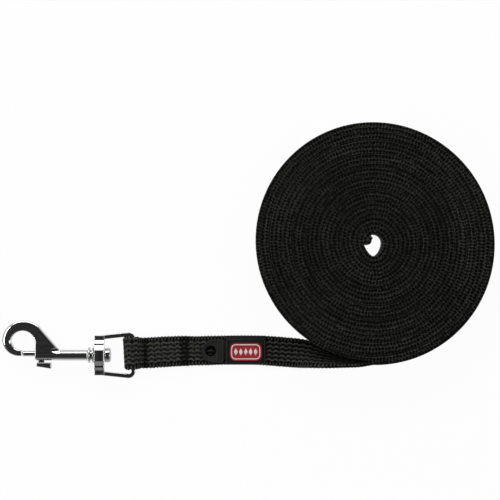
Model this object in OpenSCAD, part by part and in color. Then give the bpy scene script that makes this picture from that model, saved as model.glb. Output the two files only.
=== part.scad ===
// Training leash: a long webbing strap wound flat into a coil, with a swivelling bolt snap
// sewn into a loop at its outer end. Millimetres, +Z up. The leash lies on z = 0, the snap
// points along -X and the middle of the whole outline is at the origin.

/* [Strap] */
// Width of the webbing
strap_w = 15; // [12:0.5:20]
// Thickness of the webbing
strap_t = 1.8; // [1.4:0.1:2.4]
// Bevel along the webbing's long edges
strap_bevel = 0.3; // [0.1:0.05:0.5]

/* [Coil] */
// Half turns between the lead and the last quarter turn (odd)
half_turns = 47; // [5:2:47]
// Mean radius that the winding starts from
coil_inner_r = 6; // [5:0.5:30]
// Gap between one turn and the next
turn_gap = 0.47; // [0.42:0.01:2]
// Part of the last quarter turn that is folded double, in degrees
hem_arc = 60; // [20:5:80]

/* [Strap loop] */
// Free room between the frame's bar and the webbing round it
loop_room = 1.3; // [0.6:0.1:2]
// From the middle of the loop's bend to the first stitch row
loop_len = 5.8; // [5:0.2:12]
// How far the bar sits behind the middle of the bend
bar_slack = 0.8; // [0:0.1:1]
// Length of the tail that is folded back under the lead
tail_len = 29.1; // [15:0.1:29.1]

/* [Stitches] */
// Radius of the sewing thread
thread_r = 0.25; // [0.15:0.05:0.4]
// Distance from one stitch to the next
stitch_pitch = 1.5; // [1:0.1:3]
// Length of a stitch that runs along the strap
stitch_len = 1.6; // [1:0.1:2]
// Bare edge of the webbing beside a stitch row
stitch_margin = 1.5; // [1:0.1:4]

/* [Snap hook] */
// Thickness of the bow and its web
bow_t = 5.4; // [3:0.1:5.5]
// Radius of the bow's upper outline
bow_r = 10.3; // [9.5:0.1:12]
// Radius of the nose's lower outline
nose_r = 8.7; // [8:0.1:9.5]
// Radius of the eye's upper part
eye_r = 6.3; // [5:0.1:6.5]
// Outside radius of the barrel
barrel_r = 2.8; // [2.7:0.1:4]
// Length of the barrel up to its collar
barrel_l = 27.3; // [26:0.1:40]
// Radius of the barrel's collar and of the stud's flange
collar_r = 4.2; // [3.4:0.1:6]
// Thickness of the collar
collar_t = 1.2; // [0.6:0.1:3]

/* [Bolt] */
// Radius of the sliding bolt
bolt_r = 1.45; // [1.1:0.05:1.5]
// How far the bolt lies above the barrel's axis, towards the bow
bolt_rise = 0.8; // [0:0.1:0.8]
// Travel of the bolt
bolt_travel = 7; // [5:0.5:7.5]
// Radial play of the bolt in its bore
bolt_play = 0.05; // [0.02:0.01:0.1]
// Length of the bolt inside the barrel
bolt_seat = 8; // [6:0.5:9]
// Length of the lug's neck along the barrel
neck_l = 3.6; // [2:0.1:4]
// Width of the lug's neck
neck_w = 1.6; // [1:0.1:2]
// Width of the lug's thumb pad
lug_w = 4.8; // [3:0.1:7]
// Radius of the spring's wire
wire_r = 0.2; // [0.15:0.05:0.25]
// Coils of the spring
spring_coils = 12; // [6:1:16]

/* [Swivel] */
// Radius of the stud's shank in the frame
shank_r = 2; // [1.5:0.1:2.2]
// Radial play of the shank in the frame
shank_play = 0.05; // [0.02:0.01:0.1]
// Play along the shank, at the flange and at the riveted head
end_play = 0.3; // [0.2:0.05:0.6]
// Length of the stud's plug in the barrel
plug_l = 5.5; // [3:0.1:6]
// Radius of the stud's plug
plug_r = 2; // [1.5:0.1:2.2]
// Radius of the riveted head
head_r = 3.4; // [2.6:0.1:4.5]
// Height of the riveted head
head_t = 2.7; // [1.5:0.1:3.5]
// Length of the neck between collar and flange
stud_neck_l = 1; // [0.5:0.1:3]
// Thickness of the stud's flange
flange_t = 0.7; // [0.5:0.1:2]

/* [Frame] */
// Radius of the frame's wire and bar
bar_r = 1.2; // [1:0.1:1.6]
// Room between the webbing's edge and the bend beside it
side_room = 0.8; // [0.3:0.05:2]
// Mean radius of the two bends beside the bar
bend_r = 2.4; // [2:0.1:4]
// From the boss to the middle of the bar
frame_l = 14.8; // [12:0.2:25]
// Flare of each side wire, in degrees
flare = 6; // [0:1:10]
// Thickness of the boss along the swivel axis
boss_t = 5.2; // [3:0.1:8]

/* [Tab and badge] */
// Length of the rubber tab
tab_l = 11.4; // [10:0.2:12.2]
// Width of the rubber tab
tab_w = 11.9; // [9:0.1:12]
// Thickness of the rubber tab
tab_t = 1.2; // [0.8:0.1:2]
// Radius of the tab's hole
tab_hole_r = 2.9; // [1.5:0.1:3.5]
// From the tab's tip to the middle of its hole
tab_hole_x = 4.6; // [4.4:0.1:6]
// Length of the badge
badge_l = 20.4; // [14:0.2:20.4]
// Thickness of the badge at its border
badge_t = 0.9; // [0.7:0.1:2]
// Width of the badge's raised border
badge_rim = 1.6; // [1.2:0.1:3]
// Depth of the field inside the border
badge_depth = 0.3; // [0.1:0.05:0.4]

/* [Hidden] */
$fn = 96;
// How far a cut runs past the face it opens
over = 0.5;

// Route of the lead: x, y, layers of webbing under it, and roll about its run in degrees
lead_route = [
    [-53.5, -53.5, 1, 0],
    [-50, -53.5, 1, 0],
    [-44, -53, 1, 0],
    [-38, -52.5, 1, 0],
    [-33, -52, 1, 0],
    [-30, -52, 1, 0],
    [-27, -52, 0.5, 0],
    [-24, -52, 0, 0],
    [-21, -52, 0, 0],
    [10, -52, 0, 0],
    [16, -52, 0, 2],
    [22, -52.2, 0, 8],
    [28, -52.5, 0, 18],
    [31, -53, 0, 26],
    [34, -53.8, 0, 35],
    [37, -54.45, 0, 45],
    [40, -54.95, 0, 54],
    [43, -55.3, 0, 62],
    [46, -55.6, 0, 69],
    [49, -55.7, 0, 76],
    [52, -55.7, 0, 81],
    [56, -55.7, 0, 86],
    [60, -55.7, 0, 90],
    [65, -55.7, 0, 90]
];
lead_start = lead_route[0];
lead_end = lead_route[len(lead_route) - 1];

// The lead's straight stretch that carries the tab and the badge
flat_y = -52;
badge_x = -10.7;
rear_stitch_x = -32;
front_stitch_x = -52.4;
row_gap = 0.4;

// Winding
pitch = strap_t + turn_gap;
quarter_r = coil_inner_r + pitch / 4;
coil_r = quarter_r + half_turns * pitch / 2;
coil_x = lead_end[0];
coil_y = lead_end[1] + coil_r;

// Outer face of the coil's second turn, which the lead's inner edge passes as it rolls
turn_c = [coil_x, coil_y + pitch / 2];
turn_r = coil_r - pitch / 2 + strap_t / 2;
twist_room = 0.05;
twist_ahead = 3;

// Loop, bar and swivel axis
floor_room = 0.1;
loop_r = max(bar_r + loop_room, collar_r + floor_room - strap_t);
seam_l = 0.3;
bend_steps = 36;
loop_slope = 2 * atan(loop_r / (loop_len - seam_l));
bend_x = lead_start[0] - loop_len;
bar_x = bend_x + bar_slack;
axis_y = lead_start[1];
axis_z = strap_t + loop_r;

// Stations along the snap, from the barrel's mouth backwards
collar_x = barrel_l;
neck_x = collar_x + collar_t;
flange_x = neck_x + stud_neck_l;
boss_x = flange_x + flange_t + end_play;
head_x = boss_x + boss_t + end_play;
plug_x = neck_x - plug_l;
frame_bar_x = boss_x + boss_t + frame_l;
mouth_x = bar_x - frame_bar_x;

// Bow: middles of its arcs, seen from the barrel's mouth
bow_c = [-6.6, 7.4];
nose_c = [-8.2, 8.3];
eye_c = [-6.2, 6.3];
part_y = 8;
nose_end_x = -6.9;
nose_gap = 0.3;
eye_left = eye_c[0] - sqrt(pow(eye_r, 2) - pow(part_y - eye_c[1], 2));
inner_nose_r = 5.5;
bow_reach = 40;
web_foot = 0.4;

// Bolt, slot and spring
bore_r = bolt_r + bolt_play;
bolt_tip_x = nose_end_x + nose_gap;
neck_front_x = 1.4;
slot_room = 0.3;
slot_side = 0.2;
pad_y = -3.7;
pad_low = 2;
pad_high = 3.2;
pad_front_x = 0.7;
pad_l = 7.7;
spring_room = 0.05;
spring_side = 0.25;
spring_r = bore_r - wire_r - spring_side;
spring_l = plug_x - bolt_seat - 2 * spring_room;
spring_rings = 8;
wire_sides = 6;

// Frame, whose wire thins a little from the bar to the plate
wire_step = 0.05;
bend_wire_r = bar_r - wire_step;
wire_side_r = bar_r - 2 * wire_step;
bend_y = strap_w / 2 + side_room;
bend_mid_x = frame_bar_x - bend_r;
wire_y = bend_y + bend_r / cos(flare);
wire_start_x = boss_x + boss_t / 2;
wire_start_y = wire_y - tan(flare) * (bend_mid_x - wire_start_x);
wire_end = [bend_mid_x - bend_r * sin(flare), bend_y + bend_r * cos(flare)];
plate_y = wire_start_y + bar_r;
plate_z = 1.5;
shoulder_y = 5.8;
shoulder_z = 2.5;
crown_y = 2.8;

// Tab and badge
tab_root_t = 0.4;
tab_root_w = 9;
tab_root_l = 4;
tab_rib_l = 1.1;
tab_rib_t = 0.3;
tab_gap = 1.1;
tab_end_x = badge_x - tab_gap;
tab_tip_x = tab_end_x - tab_l;
panel_margin = 1;
panel_t = 0.6;
panel_corner = 2;
badge_stitch_pitch = 2.2;
badge_top = strap_t + badge_t;

strap_color = "#20201e";
metal_color = "#c4c8ca";
spring_color = "#8d9194";
rubber_color = "#3a3b39";
thread_color = "#2b2b29";
badge_color = "#23282a";
panel_color = "#b3212c";

// Points on the middle line of the winding, by turns counted from the lead
function coil_point(turns) =
    let (half = floor(turns * 2), r = coil_r - half * pitch / 2,
         a = turns * 360 - 90, rise = half % 2 * pitch / 2)
    [r * cos(a), rise + r * sin(a)];

// Least distance between any point and those at least half a loop further on
function least_gap(points, loop) =
    min([for (i = [0 : len(points) - 1])
        for (j = [i + loop / 2 : 1 : len(points) - 1]) norm(points[i] - points[j])]);

// Middle points of the lead's rings, kept clear of the coil's second turn
function turn_y(x) =
    let (across = min(abs(x - turn_c[0]), turn_r))
    turn_c[1] - sqrt(pow(turn_r, 2) - pow(across, 2));
function lead_y(row) =
    let (reach = strap_w / 2 * cos(row[3]) + strap_t / 2 * sin(row[3]))
    min(row[1], turn_y(row[0] + twist_ahead * cos(row[3])) - twist_room - reach);
function lead_point(row) =
    [row[0], lead_y(row), row[2] * strap_t + strap_w / 2 * sin(row[3]) + strap_t / 2 * cos(row[3])];

// Run, side direction and face direction of a ring
function unit(v) = v / norm(v);
function run_at(points, i) =
    unit(points[min(i + 1, len(points) - 1)] - points[max(i - 1, 0)]);
function ring_side(run) = unit(cross([0, 0, 1], run));
function ring_up(run) = cross(run, ring_side(run));

// Outline of the webbing's section: across and through
function strap_section() =
    let (w = strap_w / 2, t = strap_t / 2, b = strap_bevel)
    [[w, b - t], [w, t - b], [w - b, t], [b - w, t], [-w, t - b], [-w, b - t], [b - w, -t], [w - b, -t]];

function lead_ring(points, i) =
    let (run = run_at(points, i), s = ring_side(run), u = ring_up(run), roll = lead_route[i][3],
         across = s * cos(roll) - u * sin(roll), through = u * cos(roll) + s * sin(roll))
    [for (p = strap_section()) points[i] + across * p[0] + through * p[1]];

// Ring of the spring's wire at a share of its length, square to the helix
function spring_point(share) =
    let (a = share * spring_coils * 360)
    [wire_r + share * (spring_l - 2 * wire_r), spring_r * cos(a), spring_r * sin(a)];
function spring_ring(share) =
    let (a = share * spring_coils * 360, out = [0, cos(a), sin(a)],
         run = unit([spring_l / (spring_coils * 2 * PI), -spring_r * sin(a), spring_r * cos(a)]),
         along = cross(run, out))
    [for (k = [0 : wire_sides - 1])
        spring_point(share) + wire_r * (out * cos(k * 360 / wire_sides) + along * sin(k * 360 / wire_sides))];

// Lengths and least gaps, measured on points
function path_length(p, i = 1) = i < len(p) ? norm(p[i] - p[i - 1]) + path_length(p, i + 1) : 0;
loop_points = 24;
coil_turns = half_turns / 2 + 0.25;
coil_points = [for (i = [0 : floor(loop_points * coil_turns)]) coil_point(i / loop_points)];
spring_steps = spring_coils * spring_rings;
spring_points = [for (i = [0 : spring_steps]) spring_point(i / spring_steps)];
lead_points = [for (row = lead_route) lead_point(row)];
echo(least_gap_between_turns = least_gap(coil_points, loop_points) - strap_t);
echo(least_gap_between_spring_coils = least_gap(spring_points, spring_rings) - 2 * wire_r);
echo(wound_length = path_length(coil_points), lead_length = path_length(lead_points), coil_radius = coil_r);

// Closed skin of triangles over a row of rings
module skin(rings) {
    n = len(rings[0]);
    last = (len(rings) - 1) * n;
    walls = [for (i = [0 : len(rings) - 2]) for (k = [0 : n - 1])
        let (a = i * n + k, b = i * n + (k + 1) % n)
        each [[a, b, a + n], [b, b + n, a + n]]];
    caps = [for (k = [1 : n - 2]) each [[0, k + 1, k], [last, last + k, last + k + 1]]];
    polyhedron(points = [for (r = rings) each r], faces = concat(walls, caps), convexity = 8);
}

// Puts a piece that is drawn from the barrel's mouth into its place
module at_snap() {
    translate([mouth_x, axis_y, axis_z]) children();
}

// Cylinder along +X
module rod(r, x0, x1) {
    translate([x0, 0, 0]) rotate([0, 90, 0]) cylinder(r = r, h = x1 - x0);
}

module rounded_rect(l, w, r) {
    square([l - 2 * r, w], center = true);
    square([l, w - 2 * r], center = true);
    for (x = [r - l / 2, l / 2 - r], y = [r - w / 2, w / 2 - r]) translate([x, y]) circle(r);
}

// Half plane of the bow's drawing on one side of part_y, out to a chosen right end
module half_plane(upper, right) {
    translate([right - bow_reach, upper ? part_y : part_y - bow_reach]) square(bow_reach);
}

module eye_outline() {
    intersection() {
        translate(eye_c) circle(eye_r);
        half_plane(true, bow_reach / 2);
    }
    intersection() {
        translate([eye_left + inner_nose_r, part_y]) circle(inner_nose_r);
        half_plane(false, nose_end_x);
    }
    translate([nose_end_x, -barrel_r]) square([-nose_end_x, part_y + barrel_r]);
}

module bow_outline() {
    touch = bow_c + bow_r * [cos(45), sin(45)];
    foot_y = barrel_r - web_foot;
    foot_x = touch[0] + touch[1] - foot_y;
    difference() {
        union() {
            intersection() {
                translate(bow_c) circle(bow_r);
                half_plane(true, bow_reach / 2);
            }
            intersection() {
                translate(nose_c) circle(nose_r);
                half_plane(false, nose_end_x);
            }
            polygon([bow_c, touch, [foot_x, foot_y], [foot_x, 0], [0, 0]]);
        }
        eye_outline();
    }
}

// Slot in the barrel's side that the lug's neck slides in
module lug_slot() {
    l = neck_l + bolt_travel + 2 * slot_room;
    w = neck_w + 2 * slot_side;
    translate([neck_front_x - slot_room, -barrel_r - over, -w / 2]) cube([l, barrel_r + over + bolt_rise, w]);
}

module hook_body() {
    color(metal_color) at_snap() difference() {
        union() {
            rod(barrel_r, 0, collar_x);
            rod(collar_r, collar_x, neck_x);
            translate([0, 0, -bow_t / 2]) linear_extrude(bow_t) bow_outline();
        }
        translate([0, bolt_rise, 0]) rod(bore_r, -over, plug_x + over);
        rod(plug_r, plug_x, neck_x + over);
        lug_slot();
    }
}

// The key of the lug that fills the bolt's cross cut
module lug_key(top) {
    translate([neck_front_x, pad_y, -neck_w / 2]) cube([neck_l, top - pad_y, neck_w]);
}

module hook_bolt() {
    color(metal_color) at_snap() difference() {
        translate([0, bolt_rise, 0]) rod(bolt_r, bolt_tip_x, bolt_seat);
        lug_key(bolt_rise);
    }
}

module thumb_lug() {
    color(metal_color) at_snap() {
        lug_key(bolt_rise);
        translate([pad_front_x, pad_y, -lug_w / 2]) linear_extrude(lug_w)
            polygon([[0, 0], [0, -pad_low], [pad_l, -pad_high], [pad_l, 0]]);
    }
}

module bolt_spring() {
    color(spring_color) at_snap() translate([bolt_seat + spring_room, bolt_rise, 0])
        skin([for (i = [0 : spring_steps]) spring_ring(i / spring_steps)]);
}

module swivel_stud() {
    flange_end = flange_x + flange_t;
    head_end = head_x + head_t;
    edge = 0.6;
    dimple_r = 1.3;
    color(metal_color) at_snap() rotate([0, 90, 0]) rotate_extrude()
        polygon([[0, plug_x], [plug_r, plug_x], [plug_r, neck_x], [barrel_r, neck_x], [barrel_r, flange_x],
                 [collar_r, flange_x], [collar_r, flange_end], [shank_r, flange_end], [shank_r, head_x],
                 [head_r, head_x], [head_r, head_end - edge], [head_r - edge, head_end],
                 [dimple_r, head_end], [dimple_r / 2, head_end - edge], [0, head_end - edge]]);
}

// Plate of the frame with its thicker crown round the swivel axis
module frame_plate() {
    side = [[plate_y, plate_z], [shoulder_y, shoulder_z], [crown_y, axis_z]];
    upper = concat(side, [for (i = [2 : -1 : 0]) [-side[i][0], side[i][1]]]);
    lower = [for (i = [5 : -1 : 0]) [upper[i][0], -upper[i][1]]];
    translate([boss_x, 0, 0]) rotate([90, 0, 90]) linear_extrude(boss_t) polygon(concat(upper, lower));
}

// One side wire with the bend that leads it into the bar
module frame_side() {
    run = wire_end - [wire_start_x, wire_start_y];
    translate([wire_start_x, wire_start_y, 0]) rotate([0, 90, flare]) cylinder(r = wire_side_r, h = norm(run));
    translate([bend_mid_x, bend_y, 0]) rotate_extrude(angle = 90 + flare)
        translate([bend_r, 0]) circle(bend_wire_r, $fn = 48);
}

module swivel_frame() {
    color(metal_color) at_snap() difference() {
        union() {
            frame_plate();
            frame_side();
            mirror([0, 1, 0]) frame_side();
            translate([frame_bar_x, bend_y, 0]) rotate([90, 0, 0]) cylinder(r = bar_r, h = 2 * bend_y);
        }
        rod(shank_r + shank_play, boss_x - over, boss_x + boss_t + over);
    }
}

// Band of webbing on its edge: a stretch of one turn, from a start angle through a sweep
module strap_arc(inner, outer, start, sweep) {
    rotate([0, 0, start]) rotate_extrude(angle = sweep) translate([inner, 0]) square([outer - inner, strap_w]);
}

module strap_coil() {
    half_t = strap_t / 2;
    color(strap_color) translate([coil_x, coil_y, 0]) {
        for (k = [0 : half_turns - 1]) {
            r = coil_r - k * pitch / 2;
            odd = k % 2;
            translate([0, odd * pitch / 2, 0]) strap_arc(r - half_t, r + half_t, odd * 180 - 90, 180);
        }
        translate([0, pitch / 2, 0]) {
            strap_arc(quarter_r - half_t, quarter_r + half_t, 90, 90);
            mirror([0, 1, 0]) strap_arc(quarter_r - half_t - strap_t, quarter_r + half_t, 180, hem_arc);
        }
    }
}

module strap_lead() {
    color(strap_color) skin([for (i = [0 : len(lead_points) - 1]) lead_ring(lead_points, i)]);
}

// Points of the loop's bend at one radius, from under the bar round to where the upper run starts
function bend_points(r) =
    [for (i = [0 : bend_steps]) let (a = 270 - i / bend_steps * (180 + loop_slope)) r * [cos(a), sin(a)]];

// Loop round the bar: bend, tail underneath, and the upper run down to the first stitch row
module strap_loop() {
    outer_r = loop_r + strap_t;
    fall = tan(loop_slope) * (loop_len - outer_r * sin(loop_slope));
    upper_end = [loop_len, outer_r * cos(loop_slope) - fall];
    outside = concat([[tail_len, -loop_r], [tail_len, -outer_r]], bend_points(outer_r),
                     [upper_end, [loop_len, -loop_r]]);
    inside = concat(bend_points(loop_r), [[loop_len - seam_l, -loop_r]]);
    color(strap_color) translate([bend_x, axis_y + strap_w / 2, axis_z]) rotate([90, 0, 0]) difference() {
        linear_extrude(strap_w) polygon(outside);
        translate([0, 0, -over]) linear_extrude(strap_w + 2 * over) polygon(inside);
    }
}

// Half-round thread lying on z = 0 along X
module stitch(l) {
    intersection() {
        rod(thread_r, -l / 2, l / 2);
        translate([-l, -l, 0]) cube([2 * l, 2 * l, l]);
    }
}

// Row of stitches across the strap
module stitch_row(x, y) {
    n = floor((strap_w - 2 * stitch_margin) / stitch_pitch) + 1;
    for (i = [0 : n - 1])
        translate([x, y + (i - (n - 1) / 2) * stitch_pitch, 2 * strap_t]) stitch(stitch_len);
}

module front_stitches() {
    color(thread_color) stitch_row(front_stitch_x, axis_y);
}

module rear_stitches() {
    step = stitch_len + row_gap;
    color(thread_color) for (side = [-1, 1]) stitch_row(rear_stitch_x + side * step / 2, flat_y);
}

// The thin root of the tab that is sewn in under the badge
module tab_root() {
    translate([tab_end_x - tab_rib_l, flat_y - tab_root_w / 2, strap_t])
        cube([badge_x + tab_root_l - tab_end_x + tab_rib_l, tab_root_w, tab_root_t]);
}

module rubber_tab() {
    r = tab_w / 2;
    color(rubber_color) {
        translate([tab_tip_x, flat_y, strap_t]) linear_extrude(tab_t) difference() {
            union() {
                translate([r, 0]) circle(r);
                translate([r, -r]) square([tab_l - r, tab_w]);
            }
            translate([tab_hole_x, 0]) circle(tab_hole_r);
        }
        translate([tab_end_x - tab_rib_l, flat_y - r, strap_t]) cube([tab_rib_l, tab_w, tab_t + tab_rib_t]);
        tab_root();
    }
}

module badge_base() {
    color(badge_color) difference() {
        translate([badge_x, flat_y - strap_w / 2, strap_t]) cube([badge_l, strap_w, badge_t]);
        translate([badge_x + badge_rim, flat_y - strap_w / 2 + badge_rim, badge_top - badge_depth])
            cube([badge_l - 2 * badge_rim, strap_w - 2 * badge_rim, badge_t]);
        tab_root();
    }
}

module badge_panel() {
    inset = 2 * (badge_rim + panel_margin);
    color(panel_color) translate([badge_x + badge_l / 2, flat_y, badge_top - badge_depth])
        linear_extrude(panel_t) rounded_rect(badge_l - inset, strap_w - inset, panel_corner);
}

module badge_stitches() {
    n = floor((strap_w - 2 * stitch_margin) / badge_stitch_pitch) + 1;
    color(thread_color) for (x = [badge_x + badge_rim / 2, badge_x + badge_l - badge_rim / 2], i = [0 : n - 1])
        translate([x, flat_y + (i - (n - 1) / 2) * badge_stitch_pitch, badge_top])
            rotate([0, 0, 90]) stitch(stitch_len);
}

hook_body();
hook_bolt();
thumb_lug();
bolt_spring();
swivel_stud();
swivel_frame();
strap_coil();
strap_lead();
strap_loop();
front_stitches();
rear_stitches();
rubber_tab();
badge_base();
badge_panel();
badge_stitches();
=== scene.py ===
"""Training leash: flat webbing wound into a coil, with a swivelling bolt snap sewn into its outer end."""

import logging
import math
from dataclasses import dataclass, field, replace
from enum import Enum
from typing import Callable, Optional, Sequence

import bpy
import numpy as np
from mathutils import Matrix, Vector


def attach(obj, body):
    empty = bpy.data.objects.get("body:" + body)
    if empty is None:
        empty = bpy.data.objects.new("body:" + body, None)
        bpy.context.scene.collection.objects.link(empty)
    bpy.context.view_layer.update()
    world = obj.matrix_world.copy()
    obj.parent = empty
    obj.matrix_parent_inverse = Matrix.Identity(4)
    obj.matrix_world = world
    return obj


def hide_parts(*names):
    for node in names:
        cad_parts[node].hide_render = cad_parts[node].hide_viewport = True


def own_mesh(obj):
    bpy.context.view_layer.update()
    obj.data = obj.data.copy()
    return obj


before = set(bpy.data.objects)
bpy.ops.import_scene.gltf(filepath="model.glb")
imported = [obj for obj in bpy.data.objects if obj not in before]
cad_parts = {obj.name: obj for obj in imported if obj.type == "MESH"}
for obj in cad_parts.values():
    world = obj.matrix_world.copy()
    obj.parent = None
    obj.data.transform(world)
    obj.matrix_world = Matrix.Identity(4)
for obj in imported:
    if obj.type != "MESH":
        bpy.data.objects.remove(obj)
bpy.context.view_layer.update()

LOG = logging.getLogger("leash")
MM = 0.001
# The snap's own zero: the middle of the barrel's mouth, in the part's frame, in mm.
SNAP_ZERO = (-109.0, -53.5, 4.3)
# What is sewn on the strap is modelled in the part's own frame.
PART_ZERO = (0.0, 0.0, 0.0)

Point = Sequence[float]
Piece = bpy.types.Object
Tree = bpy.types.NodeTree
Node = bpy.types.Node
# The inputs of a node that maps one range to another: where a value comes from and where it goes to.
RANGE = ("From Min", "From Max", "To Min", "To Max")


class Body(Enum):
    """The CAD bodies that pieces ride on."""

    STRAP = "strap"
    FRAME = "frame"
    HOOK = "hook"
    BOLT = "bolt"


class Join(Enum):
    """How one solid is worked into another."""

    ADD = "UNION"
    CUT = "DIFFERENCE"


class Side(Enum):
    """The parts of the webbing's section."""

    FACE = 0
    BACK = 1
    EDGE = 2


def linear(code: str) -> tuple[float, float, float, float]:
    """Turns an sRGB hex colour into linear RGBA.

    Args:
        code: The colour, such as "#1c1c1a".

    Returns:
        Linear red, green and blue, and full alpha.
    """
    parts = [int(code[i:i + 2], 16) / 255 for i in (1, 3, 5)]
    parts = [c / 12.92 if c <= 0.04045 else ((c + 0.055) / 1.055) ** 2.4 for c in parts]
    return (parts[0], parts[1], parts[2], 1.0)


def feed(tree: Tree, node: Node, inputs: dict) -> None:
    """Sets a node's inputs.

    Args:
        tree: The node tree.
        node: The node.
        inputs: Input name or number to a constant or to the socket that feeds it.
    """
    for key, value in inputs.items():
        if isinstance(value, bpy.types.NodeSocket):
            tree.links.new(value, node.inputs[key])
        else:
            node.inputs[key].default_value = value


def add_node(tree: Tree, kind: str, inputs: Optional[dict] = None, stops: Sequence[tuple[float, str]] = (),
             **settings: object) -> bpy.types.bpy_prop_collection:
    """Adds a node, with its settings, its colour stops and its inputs.

    Args:
        tree: The node tree.
        kind: The node's type name, after the words that all shader nodes start with.
        inputs: Input name or number to a constant or to the socket that feeds it.
        stops: Places and hex colours of a colour ramp.
        settings: Properties of the node.

    Returns:
        The new node's outputs.
    """
    node = tree.nodes.new("ShaderNode" + kind)
    for key, value in settings.items():
        setattr(node, key, value)
    for number, (place, code) in enumerate(stops):
        ramp = node.color_ramp.elements
        stop = ramp[number] if number < 2 else ramp.new(place)
        stop.position, stop.color = place, linear(code)
    feed(tree, node, inputs or {})
    return node.outputs


# Finishes


@dataclass(frozen=True)
class Finish:
    """A finish: one material that is made once and shared by its pieces."""

    name: str = "finish"

    def material(self) -> bpy.types.Material:
        """Gives the finish's material and makes it on the first call.

        Returns:
            The material.
        """
        found = bpy.data.materials.get(self.name)
        if found:
            return found
        made = bpy.data.materials.new(self.name)
        made.use_nodes = True
        tree = made.node_tree
        self.wire(tree, tree.nodes["Principled BSDF"])
        return made

    def wire(self, tree: Tree, shader: Node) -> None:
        """Sets the shader and links the patterns that feed it.

        Args:
            tree: The material's node tree.
            shader: Its shader.
        """
        raise NotImplementedError


@dataclass(frozen=True)
class WovenPolypropylene(Finish):
    """Spun-dyed black polypropylene, woven into webbing.

    The yarns are bundles of fine bright filaments. The colour follows the weave's height: the crowns carry a
    painted soft grey sheen, and the gaps carry painted shade that is nearly black.
    """

    name: str = "woven_black_polypropylene"
    # Heights of the weave, and the colours there: painted shade in a gap, the yarn, and a painted sheen on a
    # crown.
    tones: tuple = ((0.12, "#020202"), (0.55, "#10100f"), (1.0, "#4a4a46"))
    filament_mm: float = 0.16   # a real filament is 0.04 mm; drawn coarser so that it shows
    filament_deep_mm: float = 0.05
    filament_bump: float = 0.35
    streak_long: float = 8.0    # a streak's length in filaments
    streak_share: float = 0.36  # how far streaks shift the height that a colour is read at
    uneven_mm: float = 0.9
    uneven_share: float = 1.1   # how far uneven yarns shift it
    roughness: float = 0.62
    gloss: float = 0.05
    ior: float = 1.49
    sheen: float = 0.02
    sheen_roughness: float = 0.4

    def wire(self, tree: Tree, shader: Node) -> None:
        """Colours by the weave's height, with filament streaks that follow the strap.

        Args:
            tree: The material's node tree.
            shader: Its shader.
        """
        height = add_node(tree, "Attribute", attribute_name="weave")["Fac"]
        strap = add_node(tree, "UVMap", uv_map="strap")["UV"]
        # UVs are metres along and round the strap.
        per_metre = 1 / (self.filament_mm * MM)
        streaked = add_node(tree, "Mapping", {
            "Vector": strap, "Scale": (per_metre / self.streak_long, per_metre, 1)})["Vector"]
        streak = add_node(tree, "TexNoise", {"Vector": streaked, "Scale": 1.0, "Detail": 2.0})["Fac"]
        # Uneven yarns: single crowns, a bar apart, are fluffier and paler than others.
        worn = add_node(tree, "TexNoise", {
            "Vector": strap, "Scale": 1 / (self.uneven_mm * MM), "Detail": 2.0})["Fac"]
        # Noise is 0.5 on average, so half of each share is taken off again.
        middle = -(self.streak_share + self.uneven_share) / 2
        lift = add_node(tree, "Math", {0: streak, 1: self.streak_share, 2: middle},
                        operation="MULTIPLY_ADD")[0]
        drift = add_node(tree, "Math", {0: worn, 1: self.uneven_share, 2: lift},
                         operation="MULTIPLY_ADD")[0]
        level = add_node(tree, "Math", {0: height, 1: drift}, operation="ADD")[0]
        # Painted light: low places on the weave take dark painted shade, and crowns take a pale painted
        # sheen.
        tone = add_node(tree, "ValToRGB", {"Fac": level}, stops=self.tones)["Color"]
        bump = add_node(tree, "Bump", {"Height": streak, "Strength": self.filament_bump,
                                       "Distance": self.filament_deep_mm * MM})["Normal"]
        feed(tree, shader, {"Base Color": tone, "Normal": bump, "Roughness": self.roughness,
                            "Specular IOR Level": self.gloss, "IOR": self.ior, "Sheen Weight": self.sheen,
                            "Sheen Roughness": self.sheen_roughness})


@dataclass(frozen=True)
class NickelPlate(Finish):
    """Bright nickel on a tumbled zinc die casting: a slightly wavy mirror with faint handling marks."""

    name: str = "bright_nickel_on_zinc_casting"
    tones: tuple = ((0.3, "#bcbebd"), (0.55, "#c4c6c4"))
    wave_mm: float = 3.5        # the casting's own unevenness under the plate
    wave_deep_mm: float = 0.12
    wave_bump: float = 0.35
    mark_mm: float = 0.5
    mark_range: tuple = (0.3, 0.7)
    roughness: tuple = (0.12, 0.08)     # on a mark and beside it

    def wire(self, tree: Tree, shader: Node) -> None:
        """Makes a metal with slow waves in its mirror and small duller marks.

        Args:
            tree: The material's node tree.
            shader: Its shader.
        """
        place = add_node(tree, "TexCoord")["Object"]
        wave, mark = (
            add_node(tree, "TexNoise", {"Vector": place, "Scale": 1 / (size * MM), "Detail": detail})["Fac"]
            for size, detail in ((self.wave_mm, 1.0), (self.mark_mm, 4.0)))
        tone = add_node(tree, "ValToRGB", {"Fac": mark}, stops=self.tones)["Color"]
        rough = add_node(tree, "MapRange", {
            "Value": mark, **dict(zip(RANGE, self.mark_range + self.roughness))})[0]
        bump = add_node(tree, "Bump", {"Height": wave, "Strength": self.wave_bump,
                                       "Distance": self.wave_deep_mm * MM})["Normal"]
        feed(tree, shader, {"Base Color": tone, "Roughness": rough, "Normal": bump, "Metallic": 1.0})


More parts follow.
